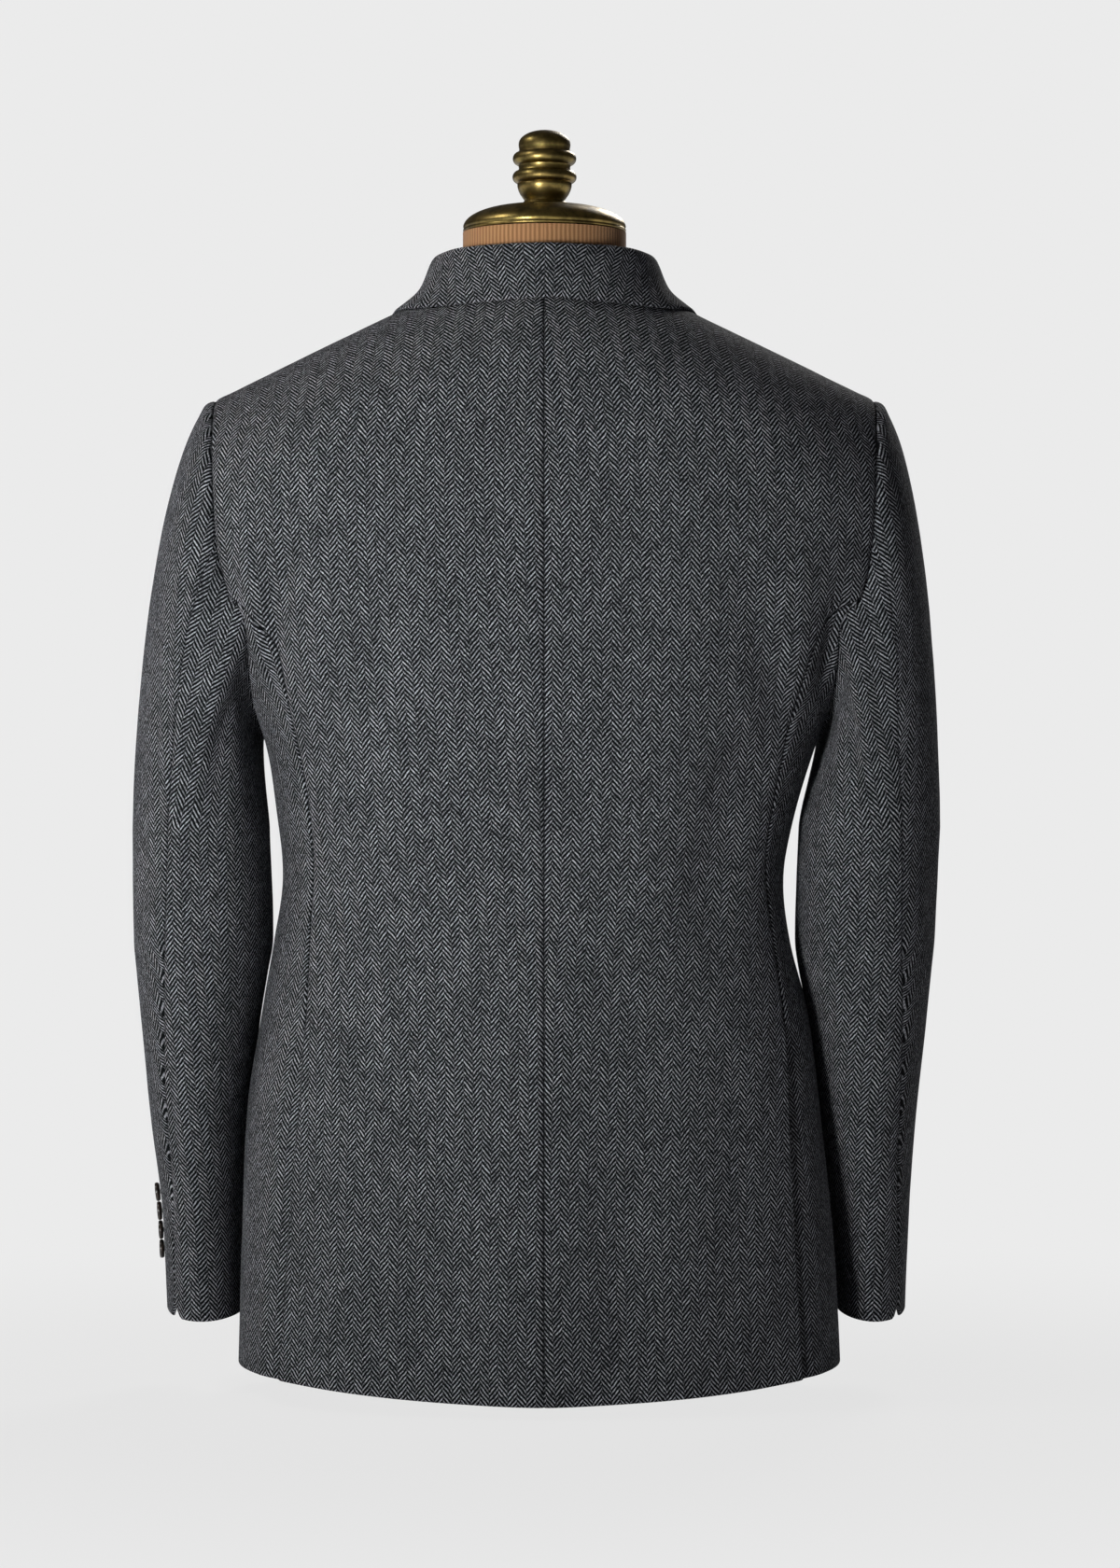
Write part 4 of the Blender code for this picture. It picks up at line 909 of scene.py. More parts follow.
def makeFront(side):
    cut = bodyCut
    low = steps(cut["frontRows"], True, False)
    x, z = frontGrid(side, steps(cut["frontColumns"]), low, np.linspace(0, 1, cut["frontYokeRows"] + 1))
    points, normals = onBody(side, False, x, z)
    seams = {"firstColumn": 1.0, "lastRow": 1.0}
    height = relief(points, seams, folds["front", side], 13.0 * side)
    height += lapOver(side, x, z)
    uv = weaveAt(side, False, x, z)
    points = points + height[..., None] * normals
    thick = thickness(points, ("firstRow", "lastColumn"))
    return makePanel("front", side, points, normals, uv, thick, seams, seams)


sleeveCut = {
    "cuff": 0.052, "twist": math.radians(34), "headShare": 0.4, "bulge": 0.006,
    "topSunk": 0.25,         # share of a seam's depth that the top sleeve's edges sink
    "hindSeam": 0.592, "frontSeam": 0.5725,   # heights where the sleeve's seams meet the armhole
    "rope": 0.0013,           # stand of the sleevehead's roll
    "ropeAt": 0.007, "ropeWidth": 0.006, "ropeTurn": 0.03,
    "warpLevel": 0.4, "warpShift": 0.003,   # where the weave starts on the sleeves
    "cuffSlope": 0.0060,      # the cuff is this much higher at the sides than behind
    "ventNotch": 0.013, "notchReach": (0.0090, 0.0070), "round": 0.29,
    "spacing": 0.0040, "warpLean": 0.28, "columns": 0.38, "headRows": 0.26, "lowRows": 0.36,
}

# z, then the outer and inner limits on the left and on the right, the front and the back
sleeveRows = np.array((
    (0.400, 0.2911, 0.1946, 0.2798, 0.1800, -0.074, 0.067),
    (0.320, 0.2908, 0.1925, 0.2760, 0.1775, -0.077, 0.062),
    (0.297, 0.2889, 0.1962, 0.2739, 0.1806, -0.0785, 0.0586),
    (0.260, 0.2857, 0.2024, 0.2704, 0.1880, -0.081, 0.053),
    (0.190, 0.2797, 0.2112, 0.2636, 0.1964, -0.088, 0.040),
    (0.125, 0.2727, 0.2135, 0.2598, 0.2035, -0.096, 0.026),
    (0.052, 0.2704, 0.2135, 0.2580, 0.2080, -0.106, 0.012),
))
headLeaving = np.array(((0.0285, 0, -0.0085), (0.022, 0, -0.030), (0.010, 0, 0.006)))
headArriving = np.array(((-0.002, 0, 0.140), (0, 0, 0.080), (0.002, 0, 0.022)))


def armholeCurve(side):
    # the armhole from the shoulder point down the back, under the arm and up the front
    cut = coatCut
    top = ridge(cut["shoulderHalf"])
    rise = np.linspace(1, 0, 160)[:-1]
    z = mix(cut["sideBackTop"], top, 1 - (1 - rise) ** bodyCut["yokeShape"])
    back, backNormals = onBody(side, True, readRows(armholeRows, 1, z), z)
    c = np.linspace(0, 1, 160)
    angle, z = sideGrid(side, c, np.ones(1))
    under, underNormals = roundBody(side, angle[0], z[0])
    rise = 1 - (1 - np.linspace(0, 1, 160)[1:-1]) ** bodyCut["yokeShape"]
    z = mix(cut["sideFrontTop"], top, rise)
    front, frontNormals = onBody(side, False, mix(readRows(armholeRows, 2, z), cut["shoulderHalf"], rise**2), z)
    points = np.concatenate([back, under, front])
    normals = np.concatenate([backNormals, underNormals, frontNormals])
    size = np.linalg.norm(np.roll(points, -1, axis=0) - points, axis=1)
    share = (np.cumsum(size) - size) / size.sum()
    return {"points": points, "normals": normals, "share": share, "length": size.sum(),
            "hind": np.interp(-sleeveCut["hindSeam"], -back[:, 2], share[:len(back)]),
            "front": np.interp(sleeveCut["frontSeam"], front[:, 2], share[-len(front):])}


armholes = {side: armholeCurve(side) for side in (1, -1)}


def atArmhole(side, share, what="points"):
    hole = armholes[side]
    share = np.mod(share, 1.0)
    knots = np.append(hole["share"], 1.0)
    held = np.concatenate([hole[what], hole[what][:1]])
    return np.stack([np.interp(share, knots, held[:, k]) for k in range(3)], axis=-1)


def sleeveRing(side, z, phi):
    # the hanging sleeve, phi turning from the outside to the back
    out = readRows(sleeveRows, 1 if side > 0 else 3, z)
    inner = readRows(sleeveRows, 2 if side > 0 else 4, z)
    front, back = readRows(sleeveRows, 5, z), readRows(sleeveRows, 6, z)
    x = (out + inner) / 2 + (out - inner) / 2 * np.cos(phi)
    y = (back + front) / 2 + (back - front) / 2 * np.sin(phi)
    return np.stack(np.broadcast_arrays(side * x, y, z), axis=-1)


def bend(ends, c):
    top, level, under = ends
    c = c[..., None]
    return level + (top - under) / 2 * c + (top + under - 2 * level) / 2 * c * c


def sleeveHead(side, share, t):
    # between the armhole (t is 0) and the first level ring (t is 1)
    phi = 2 * math.pi * share
    mirror = np.array((side, 1, 1))
    bulge = np.sign(np.sin(phi)) * sleeveCut["bulge"] * np.abs(np.sin(phi))
    first = bend(headLeaving, np.cos(phi)) + np.stack((0 * bulge, bulge, 0 * bulge), axis=-1)
    last = bend(headArriving, np.cos(phi))
    end = sleeveRing(side, sleeveRows[0, 0], phi - sleeveCut["twist"] * sleeveCut["headShare"] * t)
    a = atArmhole(side, share)
    b, c = a + first * mirror, end + last * mirror
    t = t[..., None]
    return (1 - t)**3 * a + 3 * t * (1 - t)**2 * b + 3 * t * t * (1 - t) * c + t**3 * end


def sleeveTurn(share, t):
    # the angle round the hanging sleeve that a place on the armhole comes to; t from 0 to 2
    low = np.clip(t - 1, 0, 1)
    turn = np.where(t < 1, sleeveCut["headShare"] * t, mix(sleeveCut["headShare"], 1.0, low))
    return 2 * math.pi * share - sleeveCut["twist"] * turn


def cuffLevel(share, seamAway):
    # the cuff's edge: lower behind, and notched where its vent ends
    level = sleeveCut["cuff"] + sleeveCut["cuffSlope"] * (1 - np.sin(sleeveTurn(share, 2.0 + 0 * share)))
    return level + sleeveCut["ventNotch"] * (1 - np.clip(seamAway, 0, 1)) ** 1.5


def onSleeve(side, share, t, level=None):
    # a point of the sleeve by its place on the armhole and how far down it is, from 0 to 2
    share, t = np.broadcast_arrays(np.asarray(share, float), np.asarray(t, float))
    level = sleeveCut["cuff"] if level is None else level
    head = sleeveHead(side, share, np.clip(t, 0, 1))
    z = mix(sleeveRows[0, 0], level, np.clip(t - 1, 0, 1))
    hung = sleeveRing(side, z, sleeveTurn(share, t))
    return np.where((t < 1)[..., None], head, hung)


def alongSleeve(side, *spots):
    # a fold's path over the sleeve, from (place on the armhole, how far down) spots
    return [onSleeve(side, share, t) for share, t in spots]


def makeSleeve(side, name, start, end, isTop):
    cut = sleeveCut
    across = start + (end - start) * steps((end - start) * cut["columns"], spacing=cut["spacing"])
    head = steps(cut["headRows"], True, False)
    t = np.concatenate([head, 1 + steps(cut["lowRows"], False, True)[1:]])
    # how far each column is from the vent at the cuff
    hind = armholes[side]["hind"]
    gone = np.minimum(np.abs(across - hind), np.abs(across - hind - 1)) * cut["round"]
    level = cuffLevel(across, gone / cut["notchReach"][isTop])
    grid, down = np.meshgrid(across, t)
    points = onSleeve(side, grid, down, level[None, :])
    normals = gridNormals(points) * side
    blend = np.exp(-np.arange(len(t)) / 2.0)[:, None, None]
    normals = unit(mix(normals, atArmhole(side, grid, "normals"), blend))
    # the under sleeve is sunk deeper, so that the top sleeve's edge lies over it all the way down
    sunk = cut["topSunk"] if isTop else 1.0
    seams = {"firstColumn": sunk, "lastColumn": sunk, "firstRow": 1.0}
    away = edgeDistances(points)["firstRow"]
    height = relief(points, seams, folds["sleeve", side], 21.0 * side)
    crown = np.clip(np.cos(2 * math.pi * (grid - cut["ropeTurn"])), 0, 1) ** 0.5
    height += cut["rope"] * crown * np.exp(-((away - cut["ropeAt"]) / cut["ropeWidth"]) ** 2)
    # the weave runs straight down the sleeve
    turn = sleeveTurn(grid, down)
    ringTurn = np.linspace(-3 * math.pi, 3 * math.pi, 1081)
    z = mix(sleeveRows[0, 0], level[None, :], np.clip(down - 1, 0, 1))
    u = np.empty_like(turn)
    for i in range(len(t)):
        size = lengthsAlong(sleeveRing(side, np.full(ringTurn.size, z[i].mean()), ringTurn))
        u[i] = np.interp(turn[i], ringTurn, size - size[ringTurn.size // 2])
    v = running(np.linalg.norm(np.diff(points, axis=0), axis=2))
    v = v[len(head) - 1] - v
    uv = np.stack((side * u + (0 if isTop else cut["warpShift"]), v + cut["warpLevel"]), axis=-1)
    # above the level ring the warp runs on up the arm, leaning in towards the shoulder
    held = np.arange(len(t))[:, None] + 0 * grid >= len(head) - 1
    uv = layWeave(points, normals, uv, held, unit(np.array((-cut["warpLean"] * side, 0.0, 1.0))), -1)
    points = points + height[..., None] * normals
    thick = thickness(points, ("lastRow",))
    # painted shade along the sleeve's two seams and at the armhole
    shades = {"firstColumn": 0.6, "lastColumn": 0.6, "firstRow": 1.0}
    return makePanel(name, side, points, normals, uv, thick, shades, shades)


for side in (1, -1):
    folds["sleeve", side] = [
        (alongSleeve(side, *spots), width, height) for spots, width, height in sleeveFoldPlan[sideWord(side)]]


collarCut = {
    "fold": 0.0029, "bow": 0.0015, "hug": 0.0080, "lift": 0.0016, "gorge": 0.7038,
    "stations": 66, "across": 46, "evenings": 6,
    "seamGap": 0.0009, "thick": 0.0019, "unevenness": 0.0004,
}

# from the centre back (0) over the neck point (0.5) to the gorge (1): the stand's height,
# then a point halfway down the fall and its edge, both as x and z on the shell
collarRows = np.array((
    (0.000, 0.0310, 0.000, 0.7800, 0.000, 0.7636),
    (0.250, 0.0300, 0.043, 0.7740, 0.050, 0.7602),
    (0.375, 0.0275, 0.072, 0.7670, 0.083, 0.7590),
    (0.4375, 0.0258, 0.084, 0.7660, 0.0985, 0.7606),
    (0.500, 0.0240, 0.090, 0.7660, 0.104, 0.7612),
    (0.600, 0.0200, 0.096, 0.7560, 0.114, 0.7480),
    (0.800, 0.0120, 0.096, 0.7280, 0.120, 0.7230),
    (1.000, 0.0060, 0.094, 0.6945, 0.110, 0.7090),
))

lapelCut = {
    "lift": 0.0012, "opening": 0.050, "opened": 0.08, "bowWidth": 0.05,
    "bow": 0.0016,            # how far the lapel stands off between its roll and its edge
    "rows": 84, "columns": 0.08, "spacing": 0.003,
    "thick": 0.0014, "unevenness": 0.0003, "rollRoom": 0.0004, "rollReach": 1.1,
    "rollTurns": (170, 145, 120, 95, 70, 45, 20), "edges": {"lastColumn": 0.9, "lastRow": 0.9},
}

# the roll line's height, and the lapel's outer edge across from it
lapelRows = np.array((
    (0.392, -0.020, 0.392),
    (0.430, 0.012, 0.420),
    (0.480, 0.048, 0.458),
    (0.540, 0.078, 0.510),
    (0.610, 0.108, 0.577),
    (0.670, 0.136, 0.641),
    (0.703, 0.150, 0.676),
))


def smoothThrough(spots, count):
    # a smooth curve through spots, by chord length
    spots = np.asarray(spots)
    knots = running(np.linalg.norm(np.diff(spots, axis=0), axis=1) ** 0.5)
    rows = np.column_stack([knots, spots])
    at = np.linspace(0, knots[-1], 400)
    curve = np.stack([readRows(rows, k + 1, at) for k in range(3)], axis=-1)
    gone = lengthsAlong(curve)
    even = np.linspace(0, gone[-1], count)
    return np.stack([np.interp(even, gone, curve[:, k]) for k in range(3)], axis=-1)


def collarSection(side, along):
    cut = coatCut
    stand, midX, midZ, edgeX, edgeZ = (float(readRows(collarRows, k, along)) for k in range(1, 6))
    if along <= 0.5:
        x = cut["neckHalf"] * math.sin(along * math.pi)
        seam, normal = onBody(side, True, x, neckline(np.array(x)) - (0.0002 if along == 0.5 else 0))
    else:
        z = mix(float(ridge(cut["neckHalf"])), collarCut["gorge"], 2 * along - 1)
        seam, normal = onBody(side, False, frontEdge(z), z)
    outwards = unit(normal * (1, 1, 0))
    up = np.array((0.0, 0.0, 1.0))
    seam = seam + collarCut["seamGap"] * unit(up - normal[2] * normal)
    back = along < 0.5
    lift = cut["cloth"] + collarCut["lift"]
    mid, midNormal = onBody(side, back, midX, midZ)
    edge, edgeNormal = onBody(side, back, edgeX, min(edgeZ, float(ridge(edgeX)) - 0.0001))
    fold = collarCut["fold"]
    inner = seam - cut["cloth"] * outwards
    outer = seam + (2 * fold - cut["cloth"]) * outwards
    shoulder = outer + (stand - fold) * up
    bow = mix(collarCut["bow"], -collarCut["hug"], min(1, 2 * along) ** 3)
    spots = [
        seam - cut["cloth"] * normal,
        inner + 0.5 * stand * up,
        inner + (stand - fold) * up,
        inner + stand * up + fold * outwards,
        shoulder,
        mix(shoulder, edge + lift * edgeNormal, 0.5) + bow * (outwards + up) / 2,
        edge + lift * edgeNormal,
    ]
    if along > 0.5:
        laid = mid + (lift + collarCut["bow"]) * midNormal
        spots[5] = mix(spots[5], laid, float(ease(2 * along - 1)))
    return smoothThrough(spots, collarCut["across"])


def makeCollar():
    count = collarCut["stations"]
    half = np.linspace(0, 1, count)
    left = [collarSection(1, a) for a in half]
    right = [collarSection(-1, a) for a in half[:0:-1]]
    points = np.array(right + left)
    # evens out the join between the back's and the front's sections
    for _ in range(collarCut["evenings"]):
        points[1:-1] = 0.5 * points[1:-1] + 0.25 * (points[:-2] + points[2:])
    normals = gridNormals(points)
    if normals[count, -4, 1] < 0:
        normals = -normals
    height = collarCut["unevenness"] * roughness(points, 30.0, 31.0)
    # the weave is even along a line three quarters of the way to the fall's edge
    u = lengthsAlong(points[:, int(collarCut["across"] * 0.75)])
    u -= u[len(u) // 2]
    uv = np.stack(np.broadcast_arrays(u[:, None], edgeDistances(points)["lastColumn"]), axis=-1)
    points = points + height[..., None] * normals
    thick = thickness(points, ("lastColumn", "firstRow", "lastRow"), collarCut["thick"])
    return makeCloth("collar_cloth", "collar", points, normals, uv, thick, inside=False)


def makeLapel(side):
    cut = lapelCut
    start = coatCut["breakLine"] if side > 0 else coatCut["underLapelStart"]
    rollZ = mix(start, lapelRows[-1, 0], np.linspace(0, 1, cut["rows"]))[:, None]
    opening = ease((rollZ - start) / cut["opening"] + cut["opened"])
    t = opening * steps(cut["columns"], False, True, cut["spacing"])[None, :]
    x, z = mix(frontEdge(rollZ), readRows(lapelRows, 1, rollZ), t), mix(rollZ, readRows(lapelRows, 2, rollZ), t)
    points, normals = onBody(side, False, x, z)
    away = edgeDistances(points)["firstColumn"]
    width = away[:, -1:]
    share = np.clip(away / np.maximum(width, 1e-6), 0, 1)
    bow = np.sin(math.pi * share) * np.minimum(width / cut["bowWidth"], 1)
    level = lapOver(side, x, z) + cut["lift"] + coatCut["cloth"] + cut["bow"] * bow
    # the soft roll round the front's edge, ahead of the lapel's first column
    height = level + cut["unevenness"] * roughness(points, 26.0, 41.0 * side)
    laid = points + height[..., None] * normals
    leaving = unit(laid[:, 0] - laid[:, 2])
    roll = []
    radius = (level[:, :1] + cut["rollRoom"]) / 2
    for turn in cut["rollTurns"]:
        c, s = math.cos(math.radians(turn)), math.sin(math.radians(turn))
        centre = laid[:, 0] - radius * normals[:, 0]
        roll.append(centre + radius * (c * normals[:, 0] + cut["rollReach"] * s * leaving))
    grid = np.concatenate([np.stack(roll, axis=1), laid], axis=1)
    facing = gridNormals(grid)
    if (facing[:, -3] * normals[:, -3]).sum() < 0:
        facing = -facing
    size = edgeDistances(grid)
    uv = np.stack((side * size["lastColumn"], size["firstRow"]), axis=-1)
    thick = thickness(grid, cut["edges"], cut["thick"])
    # painted shade along the lapel's outer edge and its top
    shade = seamShade(grid, cut["edges"])
    name = sideWord(side)
    return makeCloth(f"lapel_cloth_{name}", f"lapel_{name}", grid, facing, uv, thick, shade, inside=False)


pocketCut = {
    "flapEnds": (158.0, 119.0), "flapTop": 0.232, "flapHeight": 0.052, "flapSlant": 0.006,
    "weltEnds": (0.114, 0.188), "weltLow": 0.552, "weltHeight": 0.024, "weltSlant": 0.009,
    "lift": 0.0012, "corner": 0.012, "flapWidth": 0.15, "weltWidth": 0.09, "spacing": 0.003,
    "flapStand": 0.0012, "unevenness": 0.0002, "flapThick": 0.0019, "weltThick": 0.0021,
    # painted shade round the edges of flaps and welts, darkest along their top edge
    "edges": {"firstColumn": 0.9, "lastColumn": 0.9, "firstRow": 0.9, "lastRow": 1.0},
}


def makePocket(name, node, points, normals, uv, level, thick):
    # a pocket's flap or welt, at its height over the shell
    points = points + level[..., None] * normals
    # painted shade round its edges
    shade = seamShade(points, pocketCut["edges"])
    return makeCloth(name, node, points, normals, uv, np.full(points.shape[:2], thick), shade)


def pocketSteps(width, height):
    across, up = (steps(size, True, True, pocketCut["spacing"]) for size in (width, height))
    return across[None, :], up[:, None]


def makeFlap(side):
    # a pocket flap with rounded lower corners, slightly proud along its lower edge
    cut = pocketCut
    start, end = (math.radians(a) for a in cut["flapEnds"])
    u, v = pocketSteps(cut["flapWidth"], cut["flapHeight"])
    toCorner = np.clip(1 - np.minimum(u, 1 - u) * cut["flapWidth"] / cut["corner"], 0, 1)
    cornerDrop = cut["corner"] * (1 - np.sqrt(np.maximum(1 - toCorner**2, 0)))
    low = cut["flapTop"] - cut["flapHeight"] - cut["flapSlant"] * (1 - u) + cornerDrop
    z = mix(low, cut["flapTop"] - cut["flapSlant"] * (1 - u), v)
    points, normals = roundBody(side, mix(start, end, u) + 0 * v, z)
    level = cut["lift"] + coatCut["cloth"] + cut["flapStand"] * np.exp(-v**2 / 0.2)
    level = level + cut["unevenness"] * roughness(points, 40.0, 51.0 * side)
    uv = np.stack((side * edgeDistances(points)["firstColumn"], z), axis=-1)
    name = sideWord(side)
    return makePocket(f"flap_cloth_{name}", f"flap_{name}", points, normals, uv, level, cut["flapThick"])


def makeWelt():
    cut = pocketCut
    u, v = pocketSteps(cut["weltWidth"], cut["weltHeight"])
    x = mix(cut["weltEnds"][0], cut["weltEnds"][1], u) + 0 * v
    z = cut["weltLow"] + cut["weltSlant"] * u + cut["weltHeight"] * v
    points, normals = onBody(1, False, x, z)
    level = cut["lift"] + coatCut["cloth"] + 0 * x
    uv = weaveAt(1, False, x, z)
    return makePocket("breast_welt_cloth", "breast_welt", points, normals, uv, level, cut["weltThick"])


buttonCut = {
    "frontRadius": 0.0100, "cuffRadius": 0.0067, "thick": 0.0032, "lift": 0.0005, "segments": 48,
    "cuffCount": 4, "cuffFirst": 0.046, "cuffPitch": 0.0138, "cuffTurn": {1: 4, -1: -36},
    "hole": 0.00085, "holeSpread": 0.0020,   # on a front button
    # share of the radius, then of the thickness
    "profile": ((0.55, 0), (0.86, 0.05), (0.97, 0.30), (1, 0.55), (0.985, 0.80), (0.94, 0.96), (0.88, 1),
                (0.82, 0.97), (0.76, 0.86), (0.70, 0.76), (0.60, 0.72), (0, 0.68)),
    "dish": 0.68,             # the dished middle's height, as a share of the thickness
    "strand": {"radius": 0.00026, "apart": 0.00028, "arch": 0.0007, "rings": 9, "sides": 6},
}


def makeHorn():
    # buffalo horn, turned and polished: nearly black, with faint brown streaks under a gloss
    material, shader, add, _, remap, tint = newMaterial("Buffalo horn, polished")
    stretch = add("Mapping", {"Vector": add("TexCoord", {}, "Object"), "Scale": (1.0, 0.25, 1.0)})
    streak = add("TexNoise", {"Vector": stretch, "Scale": 420.0, "Detail": 4.0, "Distortion": 1.2})
    setInputs(shader, {
        "Base Color": tint(remap(streak, 0.42, 0.72), "#17120f", "#43352b"),
        "Roughness": 0.28, "IOR": 1.55, "Coat Weight": 0.3, "Coat Roughness": 0.12,
    })
    return material


def makeThread():
    # waxed polyester thread: fine twisted plies
    material, shader, add, _, _, tint = newMaterial("Waxed sewing thread")
    place = add("TexCoord", {}, "Object")
    way = {"wave_type": "BANDS", "bands_direction": "DIAGONAL"}
    ply = add("TexWave", {"Vector": place, "Scale": 900.0}, "Fac", **way)
    setInputs(shader, {"Base Color": tint(ply, "#0c0d0f", "#1b1c20"), "Roughness": 0.6})
    return material


hornPolished = makeHorn()
threadWaxed = makeThread()


def turnedMesh(name, profile, segments, materials):
    # a solid turned about Z from (radius, height) spots, bottom to top
    verts, faces, rings = [], [], []
    for radius, z in profile:
        ring = []
        for k in range(1 if radius == 0 else segments):
            angle = 2 * math.pi * k / segments
            ring.append(len(verts))
            verts.append((radius * math.cos(angle), radius * math.sin(angle), z))
        rings.append(ring)
    for low, high in zip(rings, rings[1:]):
        for k in range(segments):
            after = (k + 1) % segments
            corners = [low[k % len(low)], low[after % len(low)], high[after % len(high)], high[k % len(high)]]
            faces.append(tuple(dict.fromkeys(corners)))
    if len(rings[0]) > 1:
        faces.append(tuple(rings[0][::-1]))
    if len(rings[-1]) > 1:
        faces.append(tuple(rings[-1]))
    mesh = newMesh(name, verts, faces, *materials)
    mesh.set_sharp_from_angle(angle=math.radians(55))
    return mesh


def addStrand(bm, a, b, turn, low):
    # one of the two strands that arch from a hole to the one across
    strand = buttonCut["strand"]
    count, sides = strand["rings"], strand["sides"]
    way = Vector((b[0] - a[0], b[1] - a[1], 0)).normalized()
    across, up = Vector((-way.y, way.x, 0)), Vector((0, 0, 1))
    angles = [2 * math.pi * q / sides for q in range(sides)]
    rings = []
    for k in range(count):
        t = k / (count - 1)
        centre = Vector((mix(a[0], b[0], t), mix(a[1], b[1], t), low + strand["arch"] * math.sin(math.pi * t)))
        centre += across * (turn * strand["apart"])
        ways = [math.cos(angle) * across + math.sin(angle) * up for angle in angles]
        rings.append([bm.verts.new(centre + strand["radius"] * way) for way in ways])
    for first, second in zip(rings, rings[1:]):
        for q in range(sides):
            r = (q + 1) % sides
            face = bm.faces.new((first[q], first[r], second[r], second[q]))
            face.material_index = 1
            face.smooth = True


def buttonMesh(name, radius):
    # a four-hole button: rolled rim, dished middle, and the thread crossing in it
    high = buttonCut["thick"]
    dish = buttonCut["dish"] * high
    size = radius / buttonCut["frontRadius"]
    profile = [(r * radius, z * high) for r, z in buttonCut["profile"]]
    mesh = turnedMesh(name, profile, buttonCut["segments"], (hornPolished, threadWaxed))
    bm = bmesh.new()
    bm.from_mesh(mesh)
    holes = buttonCut["holeSpread"] * size
    spots = [(holes, holes), (-holes, holes), (-holes, -holes), (holes, -holes)]
    for x, y in spots:
        # a thin dark disc in the thread's material at each hole, countersunk: painted shade for the hole's
        # depth
        made = bmesh.ops.create_cone(bm, cap_ends=True, segments=16, depth=0.0001,
                                     radius1=buttonCut["hole"] * size * 1.15, radius2=buttonCut["hole"] * size,
                                     matrix=Matrix.Translation((x, y, dish + 0.00006)))
        for face in {f for v in made["verts"] for f in v.link_faces}:
            face.material_index = 1
    for a, b in ((spots[0], spots[2]), (spots[1], spots[3])):
        for turn in (-1, 1):
            addStrand(bm, a, b, turn, dish + 0.0001)
    bm.to_mesh(mesh)
    bm.free()
    return mesh


def faceAlong(point, normal, turn):
    look = Vector(normal).to_track_quat("Z", "Y").to_matrix().to_4x4()
    return Matrix.Translation(Vector(point)) @ look @ Matrix.Rotation(turn, 4, "Z")


def cuffSpot(side, k):
    # where a cuff button sits, and the way out of the sleeve there
    z = sleeveCut["cuff"] + buttonCut["cuffFirst"] + k * buttonCut["cuffPitch"]
    phi = math.radians(buttonCut["cuffTurn"][side])
    here = sleeveRing(side, z, phi)
    down, around = sleeveRing(side, z - 0.001, phi) - here, sleeveRing(side, z, phi + 0.001) - here
    normal = unit(np.cross(down, around) * side)
    return here, normal, unit(sleeveRing(side, z, phi - 0.02) - here)


def makeButtons():
    lift = buttonCut["lift"]
    for k, z in enumerate(coatCut["buttons"]):
        point, normal = onBody(1, False, 0.0, z)
        name = f"coat_button_{k + 1}"
        matrix = faceAlong(point + (lapOver(1, 0.0, z) + lift) * normal, normal, 0.3 * k)
        addPiece(name, buttonMesh(name, buttonCut["frontRadius"]), [f"front_button_{k + 1}"], matrix)
    for side in (1, -1):
        for k in range(buttonCut["cuffCount"]):
            here, normal, _ = cuffSpot(side, k)
            end = f"button_{sideWord(side)}_{k + 1}"
            mesh = buttonMesh("sleeve_" + end, buttonCut["cuffRadius"])
            facing = faceAlong(here + lift * normal, normal, 0.4 * k + side)
            addPiece("sleeve_" + end, mesh, ["cuff_" + end], facing)


stitchCut = {
    "thread": 0.00038,        # half the thickness of a stitch
    "length": 0.0030, "gap": 0.0004,
    "ventThread": 0.00062,    # half the thickness of the vents' slanting rows
    "frontHole": 0.0220, "cuffHole": 0.0145, "lapelHole": 0.0200,
    "whip": 0.00060,          # from one buttonhole stitch to the next
    "whipReach": 0.0009, "whipThread": 0.00026,
    "dart": (0.092, 0.505, 0.098, 0.245),   # top and foot, each as x and z
    "ventStart": 0.003, "ventReach": 0.029, "ventDrop": 0.0165,
    "lapelHoleAt": (0.116, 0.6560), "lapelHoleWay": (-0.82, 0, -0.30),
    "eyelets": (0.0008, 0.0011), "bigHole": 0.017,   # eyelet radius, small and big
}


def clothTree(piece):
    mesh = piece.data
    points, faces = [tuple(v.co) for v in mesh.vertices], [tuple(p.vertices) for p in mesh.polygons]
    return bvhtree.BVHTree.FromPolygons(points, faces)


def dropOn(tree, point, normal):
    # the cloth's face under a point of the shell
    point, normal = Vector(point), Vector(normal)
    spot, facing, _, _ = tree.ray_cast(point + 0.02 * normal, -normal, 0.05)
    return (spot, facing) if spot else (point, normal)


def addTube(verts, faces, spots, radius, sides=5):
    # a thread through the spots, narrowing at both ends
    rings = []
    for k, spot in enumerate(spots):
        after, before = spots[min(k + 1, len(spots) - 1)], spots[max(k - 1, 0)]
        way = (after - before).normalized()
        across = way.orthogonal().normalized()
        up = way.cross(across)
        size = radius * (0.45 if k in (0, len(spots) - 1) else 1.0)
        ring = []
        for q in range(sides):
            angle = 2 * math.pi * q / sides
            ring.append(len(verts))
            verts.append(tuple(spot + size * (math.cos(angle) * across + math.sin(angle) * up)))
        rings.append(ring)
    for low, high in zip(rings, rings[1:]):
        for q in range(sides):
            r = (q + 1) % sides
            faces.append((low[q], low[r], high[r], high[q]))
    faces.append(tuple(rings[0][::-1]))
    faces.append(tuple(rings[-1]))


def threadPiece(name, verts, faces):
    return addPiece(name, newMesh(name, verts, faces, threadWaxed))


